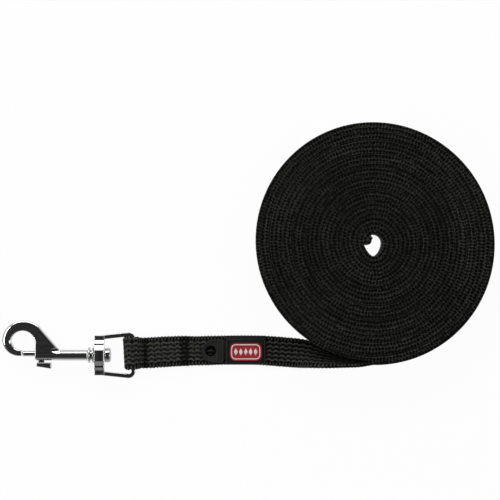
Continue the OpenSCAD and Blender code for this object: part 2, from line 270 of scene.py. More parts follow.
@dataclass(frozen=True)
class SpringSteel(Finish):
    """Drawn spring steel wire, oiled: grey, with fine drawing lines that blur its highlight."""

    name: str = "drawn_spring_steel"
    colour: str = "#8b8d90"
    line_mm: float = 0.05
    roughness: Point = (0.25, 0.45)

    def wire(self, tree: Tree, shader: Node) -> None:
        """Makes a grey metal with fine uneven roughness.

        Args:
            tree: The material's node tree.
            shader: Its shader.
        """
        place = add_node(tree, "TexCoord")["Object"]
        line = add_node(tree, "TexNoise", {
            "Vector": place, "Scale": 1 / (self.line_mm * MM), "Detail": 2.0})["Fac"]
        rough = add_node(tree, "MapRange", {"Value": line, **dict(zip(RANGE[2:], self.roughness))})[0]
        feed(tree, shader, {"Roughness": rough, "Base Color": linear(self.colour), "Metallic": 1.0})


@dataclass(frozen=True)
class Moulded(Finish):
    """A moulded soft plastic or rubber: even colour, a fine eroded mould grain and a dull gloss."""

    name: str = "moulded_rubber"
    colour: str = "#2b2b29"
    pale: str = "#383836"
    grain_mm: float = 0.35
    grain_deep_mm: float = 0.02
    roughness: float = 0.6
    ior: float = 1.52
    gloss: float = 0.5
    grain_bump: float = 0.5
    blotch: float = 9.0         # a blotch's size in grains
    blotch_range: Point = (0.3, 0.75)

    def wire(self, tree: Tree, shader: Node) -> None:
        """Makes a dull dielectric with grain and slow blotches.

        Args:
            tree: The material's node tree.
            shader: Its shader.
        """
        place = add_node(tree, "TexCoord")["Object"]
        grain, blotch = (
            add_node(tree, "TexNoise", {"Vector": place, "Scale": 1 / (size * MM), "Detail": detail})["Fac"]
            for size, detail in ((self.grain_mm, 3.0), (self.blotch * self.grain_mm, 2.0)))
        tone = add_node(tree, "ValToRGB", {"Fac": blotch},
                        stops=tuple(zip(self.blotch_range, (self.colour, self.pale))))["Color"]
        bump = add_node(tree, "Bump", {"Height": grain, "Strength": self.grain_bump,
                                       "Distance": self.grain_deep_mm * MM})["Normal"]
        feed(tree, shader, {"Base Color": tone, "Normal": bump, "Roughness": self.roughness, "IOR": self.ior,
                            "Specular IOR Level": self.gloss})


@dataclass(frozen=True)
class StudioFloor(Finish):
    """A pale sweep: white to the camera and in the metal, with the object's own soft shadow left on it."""

    name: str = "white_sweep"
    colour: str = "#fafafa"
    roughness: float = 0.9
    glow: float = 0.96          # share of plain white that the camera sees; the rest takes the shadow

    def wire(self, tree: Tree, shader: Node) -> None:
        """Mixes plain white into what the camera and mirrors see of the floor.

        Args:
            tree: The material's node tree.
            shader: Its shader.
        """
        rays = add_node(tree, "LightPath")
        mirror = add_node(tree, "Math", {0: rays["Is Glossy Ray"], 1: rays["Is Transmission Ray"]},
                          operation="MAXIMUM")[0]
        seen = add_node(tree, "Math", {0: rays["Is Camera Ray"], 1: mirror}, operation="MAXIMUM")[0]
        share = add_node(tree, "Math", {0: seen, 1: self.glow}, operation="MULTIPLY")[0]
        white = add_node(tree, "Emission", {"Color": (1, 1, 1, 1), "Strength": 1.0})[0]
        feed(tree, shader, {"Base Color": linear(self.colour), "Roughness": self.roughness,
                            "Specular IOR Level": 0.0})
        mix = add_node(tree, "MixShader", {0: share, 1: shader.outputs[0], 2: white})[0]
        feed(tree, tree.nodes["Material Output"], {"Surface": mix})


WEBBING = WovenPolypropylene()
# Bonded polyester: a smooth black thread with hardly any shine.
THREAD = Moulded("bonded_polyester_thread", "#060606", "#0c0c0b", grain_mm=0.12, roughness=0.85,
                 ior=1.55, gloss=0.15)
NICKEL = NickelPlate()
SPRING = SpringSteel()
# Rubber from an eroded mould: a dull charcoal that is paler than the webbing's gaps.
RUBBER = Moulded("moulded_black_rubber", "#171716", "#1d1d1c", grain_mm=0.3, roughness=0.62, gloss=0.36)
# Soft PVC pressed in a die: slightly green black, a little glossier than the webbing.
BADGE_PVC = Moulded("pressed_soft_pvc_black", "#0a0d0d", "#0e1211", grain_mm=0.4, grain_deep_mm=0.015,
                    roughness=0.6, ior=1.53, gloss=0.3)
# The same PVC made paler on the badge's raised bead: a painted highlight.
BEAD_PVC = replace(BADGE_PVC, name="soft_pvc_black_painted_highlight", colour="#171d1b", pale="#202624",
                   roughness=0.5, gloss=0.4)
# The inlay's PVC: an even red and an ivory, with a shallower grain and a soft gloss.
RED_PVC = Moulded("pressed_soft_pvc_red", "#a3242f", "#b23039", grain_mm=0.5, grain_deep_mm=0.012,
                  roughness=0.45, ior=1.53)
IVORY_PVC = replace(RED_PVC, name="pressed_soft_pvc_ivory", colour="#f2e2df", pale="#f8ecea")


def hang(piece: Piece, body: Body, node: str, slot: str, *finishes: Finish) -> Piece:
    """Dresses a finished piece and puts it on its CAD body in place of its CAD node.

    Args:
        piece: The finished piece.
        body: The body that it rides on.
        node: The CAD node that it stands for.
        slot: The record's material slot; not used.
        finishes: Its materials, in the order of its faces' numbers.

    Returns:
        The piece.
    """
    for finish in finishes:
        piece.data.materials.append(finish.material())
    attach(piece, body.value)
    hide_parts(node)
    LOG.info("%s: %d faces, rides on %s", piece.name, len(piece.data.polygons), body.value)
    return piece


# Modelling bench


class Bench:
    """The modelling bench: operators that shape a rigid piece, with all sizes in mm."""

    MERGED = 0.002              # points that lie closer than this become one
    SOFTENED = 0.5              # how far one pass of smoothing moves a point towards its neighbours

    @staticmethod
    def take(piece: Optional[Piece] = None) -> None:
        """Deselects everything and then takes up one piece, if any.

        Args:
            piece: The piece to take up.
        """
        if bpy.context.object and bpy.context.object.mode != "OBJECT":
            bpy.ops.object.mode_set(mode="OBJECT")
        bpy.ops.object.select_all(action="DESELECT")
        if piece:
            piece.select_set(True)
            bpy.context.view_layer.objects.active = piece

    @staticmethod
    def edit(piece: Piece) -> None:
        """Takes up a piece and enters edit mode with all of it selected.

        Args:
            piece: The piece to edit.
        """
        Bench.take(piece)
        bpy.ops.object.mode_set(mode="EDIT")
        bpy.ops.mesh.select_all(action="SELECT")

    @staticmethod
    def settle() -> None:
        """Puts the place, turn and size of what is selected into its mesh."""
        bpy.ops.object.transform_apply(location=True, rotation=True, scale=True)

    @staticmethod
    def extend(move: Point) -> None:
        """Extrudes what is selected in edit mode along one move."""
        bpy.ops.mesh.extrude_region_move(TRANSFORM_OT_translate={"value": [m * MM for m in move]})

    @staticmethod
    def pick(piece: Piece, kind: str, chosen: Callable[[Vector], bool]) -> None:
        """Enters edit mode with just those faces, edges or vertices selected whose middle is chosen.

        Args:
            piece: The piece to edit.
            kind: "FACE", "EDGE" or "VERT".
            chosen: Tells from a middle point, in mm, whether it counts.
        """
        Bench.take(piece)
        bpy.ops.object.mode_set(mode="EDIT")
        bpy.ops.mesh.select_mode(type=kind)
        bpy.ops.mesh.select_all(action="DESELECT")
        bpy.ops.object.mode_set(mode="OBJECT")
        mesh = piece.data
        if kind == "FACE":
            for face in mesh.polygons:
                face.select = chosen(face.center / MM)
        elif kind == "EDGE":
            for edge in mesh.edges:
                a, b = (mesh.vertices[i].co for i in edge.vertices)
                edge.select = chosen((a + b) / (2 * MM))
        else:
            for vertex in mesh.vertices:
                vertex.select = chosen(vertex.co / MM)
        bpy.ops.object.mode_set(mode="EDIT")

    @staticmethod
    def name_new(name: str) -> Piece:
        """Names the primitive that was just added and puts its place into its mesh.

        Args:
            name: The piece's name.

        Returns:
            The piece.
        """
        piece = bpy.context.object
        piece.name = piece.data.name = name
        Bench.settle()
        return piece

    @staticmethod
    def disc(name: str, centre: Point, radius: float, turn: Point = (0, 0, 0), sides: int = 48) -> Piece:
        """Adds a filled circle, which faces along Z before it is turned.

        Args:
            name: The piece's name.
            centre: Its middle.
            radius: Its radius.
            turn: Its Euler angles in radians.
            sides: How many corners it has.

        Returns:
            The piece, with its place in its mesh.
        """
        Bench.take()
        bpy.ops.mesh.primitive_circle_add(vertices=sides, radius=radius * MM, fill_type="NGON",
                                          location=[c * MM for c in centre], rotation=turn)
        return Bench.name_new(name)

    @staticmethod
    def block(name: str, low: Point, high: Point) -> Piece:
        """Adds a box between two corners.

        Args:
            name: The piece's name.
            low: Its lowest corner.
            high: Its highest corner.

        Returns:
            The piece, with its place in its mesh.
        """
        Bench.take()
        bpy.ops.mesh.primitive_cube_add(size=1, location=[(a + b) / 2 * MM for a, b in zip(low, high)],
                                        scale=[(b - a) * MM for a, b in zip(low, high)])
        return Bench.name_new(name)

    @staticmethod
    def slab(name: str, outline: Sequence[Point], low: float, high: float) -> Piece:
        """Cuts a flat slab: a circle's corners go to an outline's points and its face is extruded up Z.

        Args:
            name: The piece's name.
            outline: The outline's points in X and Y.
            low: The slab's lower face.
            high: Its upper face.

        Returns:
            The slab.
        """
        piece = Bench.disc(name, (0, 0, low), 1.0, sides=len(outline))
        for vertex, (x, y) in zip(piece.data.vertices, outline):
            vertex.co.x, vertex.co.y = x * MM, y * MM
        Bench.extrude(piece, [(0, 0, high - low)])
        return piece

    @staticmethod
    def extrude(piece: Piece, moves: Sequence[Point]) -> None:
        """Extrudes the whole of a flat piece along several moves in turn.

        Args:
            piece: The flat piece.
            moves: The steps.
        """
        Bench.edit(piece)
        for move in moves:
            Bench.extend(move)
        Bench.tidy(piece)

    @staticmethod
    def lathe(name: str, rows: Sequence[Point], y: float = 0.0, sides: int = 48) -> Piece:
        """Turns a round piece along X: a disc is extruded and resized from row to row.

        Args:
            name: The piece's name.
            rows: X and radius of each row.
            y: The axis's place across.
            sides: How many corners a row has.

        Returns:
            The turned piece.
        """
        (x, radius), *rest = rows
        piece = Bench.disc(name, (x, y, 0), radius, (0, math.pi / 2, 0), sides)
        Bench.edit(piece)
        for new_x, new_radius in rest:
            Bench.extend((new_x - x, 0, 0))
            share = new_radius / radius
            bpy.ops.transform.resize(value=(1, share, share), center_override=(new_x * MM, y * MM, 0))
            x, radius = new_x, new_radius
        Bench.tidy(piece)
        return piece

    @staticmethod
    def tidy(piece: Piece) -> None:
        """Merges doubles and turns the faces outwards.

        Args:
            piece: The piece.
        """
        Bench.edit(piece)
        bpy.ops.mesh.remove_doubles(threshold=Bench.MERGED * MM)
        bpy.ops.mesh.normals_make_consistent(inside=False)
        bpy.ops.object.mode_set(mode="OBJECT")

    @staticmethod
    def work(piece: Piece, kind: str, **settings: object) -> None:
        """Adds a modifier and applies it.

        Args:
            piece: The piece.
            kind: The modifier's type name.
            settings: The modifier's properties.
        """
        Bench.take(piece)
        modifier = piece.modifiers.new("work", kind)
        for key, value in settings.items():
            setattr(modifier, key, value)
        bpy.ops.object.modifier_apply(modifier=modifier.name)

    @staticmethod
    def round_edges(piece: Piece, width: float, segments: int = 3, angle: float = 35.0) -> None:
        """Rounds every edge that is sharper than an angle in degrees."""
        Bench.work(piece, "BEVEL", width=width * MM, segments=segments, limit_method="ANGLE",
                   angle_limit=math.radians(angle))

    @staticmethod
    def combine(piece: Piece, tool: Piece, join: Join) -> None:
        """Adds a tool solid to a piece or cuts it out, and takes the tool away."""
        Bench.work(piece, "BOOLEAN", operation=join.value, object=tool, solver="EXACT")
        bpy.data.objects.remove(tool, do_unlink=True)

    @staticmethod
    def cast(solids: Sequence[Piece], voxel: float, passes: int) -> Piece:
        """Makes one even casting of overlapping solids and softens its inner corners.

        Args:
            solids: The solids; the first keeps its name.
            voxel: The size of the new mesh's cells.
            passes: How many times it is smoothed.

        Returns:
            The casting.
        """
        piece = Bench.join(solids)
        Bench.work(piece, "REMESH", mode="VOXEL", voxel_size=voxel * MM)
        Bench.work(piece, "SMOOTH", factor=Bench.SOFTENED, iterations=passes)
        return piece

    @staticmethod
    def join(pieces: Sequence[Piece]) -> Piece:
        """Joins pieces into the first of them.

        Args:
            pieces: The pieces.

        Returns:
            The first piece.
        """
        Bench.take(pieces[0])
        for piece in pieces:
            piece.select_set(True)
        bpy.ops.object.join()
        return pieces[0]

    @staticmethod
    def copy(piece: Piece, move: Point, turn: float = 0.0) -> Piece:
        """Copies a piece with its own mesh, turned about Z and then moved.

        Args:
            piece: The pattern.
            move: Where the copy's zero goes.
            turn: The angle in degrees.

        Returns:
            The copy.
        """
        made = piece.copy()
        made.data = piece.data.copy()
        bpy.context.scene.collection.objects.link(made)
        made.location = [m * MM for m in move]
        made.rotation_euler = (0, 0, math.radians(turn))
        Bench.take(made)
        Bench.settle()
        return made

    @staticmethod
    def set_down(piece: Piece, zero: Point = SNAP_ZERO, angle: float = 40.0) -> Piece:
        """Moves a piece's mesh from its own zero to its place and shades it smooth up to an angle.

        Args:
            piece: The piece.
            zero: Its zero in the part's frame.
            angle: The sharpest angle, in degrees, that is shaded smooth.

        Returns:
            The piece.
        """
        Bench.take(piece)
        piece.location = [z * MM for z in zero]
        Bench.settle()
        bpy.ops.object.shade_smooth_by_angle(angle=math.radians(angle))
        return piece


def arc(centre: Point, radius: float, start: float, end: float,
        step: float = 0.5) -> list[tuple[float, float]]:
    """Gives points along an arc.

    Args:
        centre: Its middle.
        radius: Its radius.
        start: Its first angle in degrees.
        end: Its last angle in degrees.
        step: The distance between points.

    Returns:
        The points, both ends included.
    """
    count = max(2, int(abs(math.radians(end - start)) * radius / step) + 1)
    angles = np.radians(np.linspace(start, end, count))
    return [(centre[0] + radius * math.cos(a), centre[1] + radius * math.sin(a)) for a in angles]


# Studio


@dataclass
class Studio:
    """Camera, floor, world and lamps."""

    camera_at: Point = (0.0017, 0.0007, 0.892)
    lens: float = 124.0
    sensor: float = 36.0
    clip: Point = (0.01, 20.0)
    floor_size: float = 6.0
    floor_z: float = -0.05      # in mm, just under the leash
    # Name, place, width, height and power in watts of each soft box.
    lamps: Sequence[tuple] = (
        ("far_softbox", (-0.1, 0.85, 0.52), 1.5, 0.34, 7.0),
        ("left_softbox", (-0.85, 0.03, 0.57), 0.9, 0.26, 3.9),
        ("right_softbox", (0.9, -0.1, 0.75), 0.3, 0.8, 2.0),
    )
    # The walls: white behind the coil, greyer in front and at the bow's end.
    wall_lean: float = 0.6      # how much the way along X counts beside the way along Y
    wall: Point = (-0.7, 0.5, 0.27, 0.74)   # from one lean to another, and from one strength to another
    # The dark ceiling reaches down to 33 degrees above the horizon.
    roof_axis: Point = (0.05, 0.0, 0.999)
    roof: Point = (0.46, 0.62, 1.0, 0.0)
    # It is uneven, so that flat metal shows soft dark and grey patches.
    patch_scale: float = 9.0
    patch: Point = (0.38, 0.62, 0.014, 0.065)

    def set_camera(self) -> None:
        """Puts the camera straight above, as in the photograph."""
        lens = bpy.data.cameras.new("camera")
        lens.lens, lens.sensor_width = self.lens, self.sensor
        lens.clip_start, lens.clip_end = self.clip
        camera = bpy.data.objects.new("camera", lens)
        camera.location = self.camera_at
        bpy.context.scene.collection.objects.link(camera)
        bpy.context.scene.camera = camera

    def set_world(self) -> None:
        """Makes a bright band round the horizon and a dark ceiling, which the metal mirrors."""
        world = bpy.data.worlds.new("studio")
        bpy.context.scene.world = world
        world.use_nodes = True
        tree = world.node_tree
        way = add_node(tree, "TexCoord")["Generated"]
        part = add_node(tree, "SeparateXYZ", {"Vector": way})
        lean = add_node(tree, "Math", {0: part["X"], 1: self.wall_lean, 2: part["Y"]},
                        operation="MULTIPLY_ADD")[0]
        wall = add_node(tree, "MapRange", {"Value": lean, **dict(zip(RANGE, self.wall))},
                        interpolation_type="SMOOTHSTEP")[0]
        tilt = add_node(tree, "VectorMath", {0: way, 1: self.roof_axis}, operation="DOT_PRODUCT")["Value"]
        below = add_node(tree, "MapRange", {"Value": tilt, **dict(zip(RANGE, self.roof))},
                         interpolation_type="SMOOTHSTEP")[0]
        level = add_node(tree, "Math", {0: wall, 1: below}, operation="MULTIPLY")[0]
        patch = add_node(tree, "TexNoise", {"Vector": way, "Scale": self.patch_scale, "Detail": 1.0})["Fac"]
        dim = add_node(tree, "MapRange", {"Value": patch, **dict(zip(RANGE, self.patch))})[0]
        light = add_node(tree, "Math", {0: level, 1: dim}, operation="ADD")[0]
        feed(tree, tree.nodes["Background"], {"Strength": light, "Color": (1, 1, 1, 1)})

    def set_lamps(self) -> None:
        """Hangs the soft boxes, each aimed at the object's middle."""
        for name, place, width, height, power in self.lamps:
            light = bpy.data.lights.new(name, "AREA")
            light.shape, light.size, light.size_y, light.energy = "RECTANGLE", width, height, power
            lamp = bpy.data.objects.new(name, light)
            lamp.location = place
            lamp.rotation_euler = (-Vector(place)).to_track_quat("-Z", "Y").to_euler()
            lamp.visible_camera = False
            bpy.context.scene.collection.objects.link(lamp)

    def build(self) -> None:
        """Sets the whole studio up."""
        bpy.context.scene.view_settings.view_transform = "Standard"
        self.set_camera()
        self.set_world()
        self.set_lamps()
        Bench.take()
        bpy.ops.mesh.primitive_plane_add(size=self.floor_size, location=(0, 0, self.floor_z * MM))
        floor = bpy.context.object
        floor.name = "floor"
        floor.data.materials.append(StudioFloor().material())


# Webbing


@dataclass
class Weave:
    """The webbing's weave, in mm: zigzag ribs between two barred edges.

    Its heights go from 0 in a gap to 1 on a crest. They sink the relief, and the colour is read from them:
    gaps, pits and holes carry painted shade, and crests carry a painted sheen.
    """

    width: float = 15.0
    thick: float = 1.8
    relief: float = 0.3         # depth of the gaps under the crests
    edge_round: float = 0.55
    foot: float = 0.0           # how much thicker the far edge is than the near one; it is then plain
    hidden: tuple = ()          # sides that lie against other turns and stay flat
    # The field of ribs.
    rib_pitch: float = 2.12
    outer_rib: int = 2          # ribs on each side of the middle one
    swing: float = 0.3          # how far a rib's crest swings to each side
    pointed: float = 0.93       # how pointed its zigzag is, up to 1
    crest_half: float = 0.6
    crest_flat: float = 1.1     # past 1 the crest is flat on top
    ground: float = 0.56        # height between the ribs
    crest_up: float = 0.36
    wave_up: float = 0.1        # how much a crest rises and falls along its zigzag
    # Pits sink the relief and are darkened with painted shade.
    pit_off: float = 0.9        # from a rib's middle line, on the hollow side of its bend
    pit_half: float = 0.4
    pit_power: float = 1.1
    pit_down: float = 0.75
    # The stretch by the loop is handled most: its gaps are fluffed up and paler.
    fluffed: float = 48.0       # how far it reaches
    fluff_fade: float = 20.0
    fluff_ground: float = 0.09
    fluff_crest: float = 0.06
    fluff_pit: float = 0.36
    fluff_bar: float = 0.15
    # The barred selvedges.
    selvedge: float = 2.2
    bar_pitch: float = 1.7
    bar_gap: float = 0.2        # height between bars
    bar_up: float = 0.72
    bar_steep: Point = (1.8, 0.5)   # a wave times the first, less the second, gives a bar with steep sides
    lip: float = 0.5            # the selvedge starts in a dark line that is this wide
    lip_tone: Point = (0.5, 0.6)    # how bright that line is, and how much brighter its far side
    blend: Point = (0.1, 0.25)  # how far before it the ribs start to go over into it, and over which distance
    # The edges: a row of weft loops, with a hole between each two that is sunk in the relief and darkened
    # with painted shade.
    edge_high: float = 0.92
    edge_tone: float = 1.0      # how bright an edge's crests are beside a face's
    edge_wave: float = 0.06     # slow changes of height
    edge_waves: Point = (37.0, 11.3)
    edge_rim: Point = (0.85, 0.25)  # where its dark rim starts, and over which distance
    edge_rim_down: float = 0.25
    hole_long: float = 0.5
    hole_wide: float = 0.58
    hole_shift: float = 0.15
    hole_down: float = 1.3
    scallop: float = 0.24       # how far the loops stand out along an edge
    scatter: Point = (12.9898, 43758.5453)  # usual factors for a chance that is the same each run

    def face(self, along: np.ndarray, across: np.ndarray) -> np.ndarray:
        """Gives the weave's height on a face.

        Args:
            along: Distances along the strap.
            across: Distances from the strap's middle line.

        Returns:
            The heights.
        """
        wave = np.sin(np.pi * along / self.bar_pitch)
        zigzag = self.swing * 2 / np.pi * np.arcsin(self.pointed * wave)
        rib = np.clip(np.round((across - zigzag) / self.rib_pitch), -self.outer_rib, self.outer_rib)
        off = across - zigzag - rib * self.rib_pitch
        crest = np.clip(self.crest_flat - (off / self.crest_half) ** 2, 0, 1)
        hollow = np.clip(-np.sign(off) * wave, 0, 1) ** self.pit_power
        pit = np.exp(-((np.abs(off) - self.pit_off) / self.pit_half) ** 2) * hollow
        fluff = np.clip((self.fluffed - along) / self.fluff_fade, 0, 1)
        ribbed = (self.ground + self.fluff_ground * fluff
                  + (self.crest_up - self.fluff_crest * fluff + self.wave_up * wave) * crest
                  - (self.pit_down - self.fluff_pit * fluff) * pit)
        bars = 0.5 + 0.5 * np.cos(2 * np.pi * along / self.bar_pitch)
        bars = np.clip(self.bar_steep[0] * bars - self.bar_steep[1], 0, 1)
        past = np.abs(across) - (self.width / 2 - self.selvedge)
        barred = self.bar_gap + self.fluff_bar * fluff + (self.bar_up - self.fluff_bar * fluff) * bars
        barred = barred * np.clip(self.lip_tone[0] + self.lip_tone[1] * np.clip(past / self.lip, 0, 1), 0, 1)
        blend = np.clip((past + self.blend[0]) / self.blend[1], 0, 1)
        return np.clip(ribbed * (1 - blend) + barred * blend, 0, 1)

    def edge(self, along: np.ndarray, through: np.ndarray) -> np.ndarray:
        """Gives the weave's height on an edge.

        Args:
            along: Distances along the strap.
            through: Distances from the middle of the thickness.

        Returns:
            The heights.
        """
        bar = along / self.bar_pitch
        near = np.abs(bar - np.round(bar)) * self.bar_pitch
        # No two holes are alike: a chance from 0 to 1 for each shifts and deepens it.
        chance = np.modf(np.abs(np.sin(np.floor(bar) * self.scatter[0]) * self.scatter[1]))[0]
        off = through + self.hole_shift * (1 - 2 * chance)
        hole = np.exp(-((self.bar_pitch / 2 - near) / self.hole_long) ** 2 - (off / self.hole_wide) ** 2)
        slow = self.edge_wave * np.sin(along / self.edge_waves[0]) * np.sin(along / self.edge_waves[1])
        rim = np.clip((np.abs(through) - self.edge_rim[0]) / self.edge_rim[1], 0, 1)
        height = self.edge_high + slow - self.hole_down * (1 + chance) * hole - self.edge_rim_down * rim
        return self.edge_tone * np.clip(height, 0, 1)

    def section(self, columns: dict) -> np.ndarray:
        """Lays out the points round the strap's section.

        Args:
            columns: Numbers of points on the face, the far edge, the back and the near edge.

        Returns:
            Rows of across, through, their outward direction, and the side's number.
        """
        flat, deep = self.width / 2 - self.edge_round, self.thick / 2
        rows = []
        for across in np.linspace(-flat, flat, columns["face"])[:-1]:
            rows.append((across, deep, 0, 1, Side.FACE.value))
        for end, first in ((1, 90), (-1, -90)):
            key = "far" if end > 0 else "near"
            for angle in np.radians(np.linspace(first, first - 180, columns[key]))[:-1]:
                c, s = math.cos(angle), math.sin(angle)
                size = math.hypot(c / self.edge_round, s / deep)
                rows.append((end * flat + self.edge_round * c, deep * s,
                             c / self.edge_round / size, s / deep / size, Side.EDGE.value))
            if end > 0:
                for across in np.linspace(flat, -flat, columns["back"])[:-1]:
                    rows.append((across, -deep, 0, -1, Side.BACK.value))
        made = np.array(rows)
        made[:, 1] *= 1 + self.foot / self.thick * (made[:, 0] / self.width + 0.5)
        return made


@dataclass
class Route:
    """A strap's route: middle points and directions, in mm."""

    middle: np.ndarray
    across: np.ndarray
    through: np.ndarray
    along: np.ndarray

    def part(self, first: int, last: int) -> "Route":
        """Cuts out the stretch between two rings, both included."""
        cut = slice(first, last + 1)
        return Route(self.middle[cut], self.across[cut], self.through[cut], self.along[cut])

    def length(self) -> float:
        """Gives the stretch's length in metres."""
        return float(np.linalg.norm(np.diff(self.middle, axis=0), axis=1).sum()) * MM


@dataclass
class Band:
    """A stretch of webbing as a closed mesh with its weave in relief."""

    weave: Weave = field(default_factory=Weave)
    press_and_shade_tone: float = 0.36  # how much stitching darkens the face, and how dark the painted shade in the tongue's hole is
    pressed_flat: float = 0.5   # how much of the relief it takes away
    pressed_deep: float = 0.14
    end_height: float = 0.2     # the weave's height at the middle of a cut end
    smooth: float = 75.0        # the sharpest angle, in degrees, that is shaded smooth

    def build(self, name: str, route: Route, columns: dict,
              press_and_shade: Optional[Callable[[np.ndarray], np.ndarray]] = None) -> Piece:
        """Makes the band's mesh.

        Args:
            name: The piece's name.
            route: The way it takes.
            columns: The numbers of points round its section.
            press_and_shade: Gives stitch pressure and the tongue hole's painted shade, 0 to 1, at points in
                mm.

        Returns:
            The band, with a "weave" attribute and a "strap" UV map.
        """
        section = self.weave.section(columns)
        points, heights = self.shape(route, section, press_and_shade)
        rings, count = len(route.middle), len(section)
        here = np.arange(count)
        there = (here + 1) % count
        first = np.arange(rings - 1)[:, None] * count
        faces = np.stack([first + here, first + there, first + count + there, first + count + here], -1)
        last, middles = (rings - 1) * count, (rings * count, rings * count + 1)
        caps = [(int(b), int(a), middles[0]) for a, b in zip(here, there)]
        caps += [(last + int(a), last + int(b), middles[1]) for a, b in zip(here, there)]
        mesh = bpy.data.meshes.new(name)
        mesh.from_pydata((points * MM).tolist(), [], faces.reshape(-1, 4).tolist() + caps)
        mesh.attributes.new("weave", "FLOAT", "POINT").data.foreach_set("value", heights.astype(np.float32))
        self.lay_map(mesh, route, section, rings)
        piece = bpy.data.objects.new(name, mesh)
        bpy.context.scene.collection.objects.link(piece)
        Bench.edit(piece)
        bpy.ops.mesh.normals_make_consistent(inside=False)
        bpy.ops.object.mode_set(mode="OBJECT")
        bpy.ops.object.shade_smooth_by_angle(angle=math.radians(self.smooth))
        return piece

    def shape(self, route: Route, section: np.ndarray,
              press_and_shade: Optional[Callable[[np.ndarray], np.ndarray]]) -> tuple[np.ndarray, np.ndarray]:
        """Lays the section's points along the route and sinks the weave's gaps.

        Args:
            route: The way it takes.
            section: The section's points.
            press_and_shade: Gives how hard stitching presses the face, and the painted shade in the tongue's
                hole.

        Returns:
            The points ring by ring, then the middles of both ends, and the weave's height at each.
        """
        weave = self.weave
        across, through, out_across, out_through, side = section.T
        on_face, on_back, on_edge = (side == s.value for s in (Side.FACE, Side.BACK, Side.EDGE))
        size = (len(route.middle), len(section))
        along = np.broadcast_to(route.along[:, None], size)
        face = weave.face(along, np.broadcast_to(across, size))
        # The back's ribs lie half a bar further on, so that they are not the face's mirror image.
        back = weave.face(along + weave.bar_pitch / 2, np.broadcast_to(across, size))
        edge = weave.edge(along, np.broadcast_to(through, size))
        height = np.where(on_face, face, np.where(on_back, back, edge))
        sunk = weave.relief * (1 - height) * ~np.isin(side, [s.value for s in weave.hidden])
        sunk = sunk - weave.scallop / 2 * np.cos(2 * np.pi * along / weave.bar_pitch) * on_edge
        if weave.foot:
            sunk = sunk * ~(on_edge & (across > 0))
        flat = (route.middle[:, None] + route.across[:, None] * across[None, :, None]
                + route.through[:, None] * through[None, :, None])
        if press_and_shade is not None:
            force = press_and_shade(flat) * on_face
            # Stitching darkens the face; in the tongue's hole this darkening is painted shade.
            height = height * (1 - self.press_and_shade_tone * force)
            sunk = sunk * (1 - self.pressed_flat * force) + self.pressed_deep * force
        out = (route.across[:, None] * out_across[None, :, None]
               + route.through[:, None] * out_through[None, :, None])
        points = (flat - out * sunk[:, :, None]).reshape(-1, 3)
        # The loops at the foot are pressed flat on the floor.
        points[:, 2] = np.maximum(points[:, 2], 0)
        ends = np.stack([route.middle[0], route.middle[-1]])
        return np.concatenate([points, ends]), np.concatenate([height.ravel(), [self.end_height] * 2])

    @staticmethod
    def lay_map(mesh: bpy.types.Mesh, route: Route, section: np.ndarray, rings: int) -> None:
        """Lays the UV map: metres along the strap and metres round its section.

        Args:
            mesh: The band's mesh.
            route: Its route.
            section: Its section's points.
            rings: The number of rings.
        """
        count = len(section)
        loop = np.vstack([section[:, :2], section[:1, :2]])
        girth = np.concatenate([[0], np.cumsum(np.linalg.norm(np.diff(loop, axis=0), axis=1))])
        u = np.repeat(route.along, count)
        v = np.tile(girth[:-1], rings)
        u = np.concatenate([u, [route.along[0], route.along[-1]]])
        v = np.concatenate([v, [0, 0]])
        index = np.zeros(len(mesh.loops), dtype=np.int32)
        mesh.loops.foreach_get("vertex_index", index)
        uv = np.stack([u[index], v[index]], 1)
        quads = (rings - 1) * count * 4
        around = uv[:quads].reshape(-1, 4, 2)
        # The last column of each ring closes on the first one, so its far corners get the whole girth.
        around[count - 1::count, 1:3, 1] = girth[-1]
        layer = mesh.uv_layers.new(name="strap")
        layer.data.foreach_set("uv", (uv * MM).astype(np.float32).ravel())


def smooth_rows(values: np.ndarray, window: int) -> np.ndarray:
    """Evens out a row of values with a running mean, twice, keeping both ends.

    Args:
        values: The values.
        window: An odd number of values to take the mean of.

    Returns:
        The evened values.
    """
    half = window // 2
    for _ in range(2):
        before = 2 * values[0] - values[half:0:-1]
        after = 2 * values[-1] - values[-2:-half - 2:-1]
        padded = np.concatenate([before, values, after])
        values = np.convolve(padded, np.ones(window) / window, "valid")
    return values


def frame_route(middle: np.ndarray, roll: np.ndarray, start: float) -> Route:
    """Gives a route its directions from its middle points and its roll about them.

    Args:
        middle: The middle points.
        roll: The roll in radians; the strap lies flat at 0 and stands on its edge at a quarter turn.
        start: The distance along the strap at the first point.

    Returns:
        The route.
    """
    run = np.gradient(middle, axis=0)
    run /= np.linalg.norm(run, axis=1)[:, None]
    level = np.cross((0.0, 0.0, 1.0), run)
    level /= np.linalg.norm(level, axis=1)[:, None]
    up = np.cross(run, level)
    c, s = np.cos(roll)[:, None], np.sin(roll)[:, None]
    along = start + np.concatenate([[0], np.cumsum(np.linalg.norm(np.diff(middle, axis=0), axis=1))])
    return Route(middle, level * c - up * s, up * c + level * s, along)


# The strap's width at X, as a share of its nominal width: it spreads over the bar and draws in at its fold.
WIDTHS = ((-62.7, 1.06), (-61.9, 1.15), (-58, 1.15), (-54.3, 1.06), (-49, 1.08), (-44, 1.08),
          (-38.7, 1.067), (-33.5, 1.056), (-27, 1.032), (-20, 1.043), (-8, 1.03), (5, 1.035),
          (10, 1.05), (18, 1.05), (45, 1.03), (65, 1.0))


def spread(x: np.ndarray) -> np.ndarray:
    """Gives the strap's width, as a share of its nominal width, at places along X."""
    return np.interp(x, *np.transpose(WIDTHS))


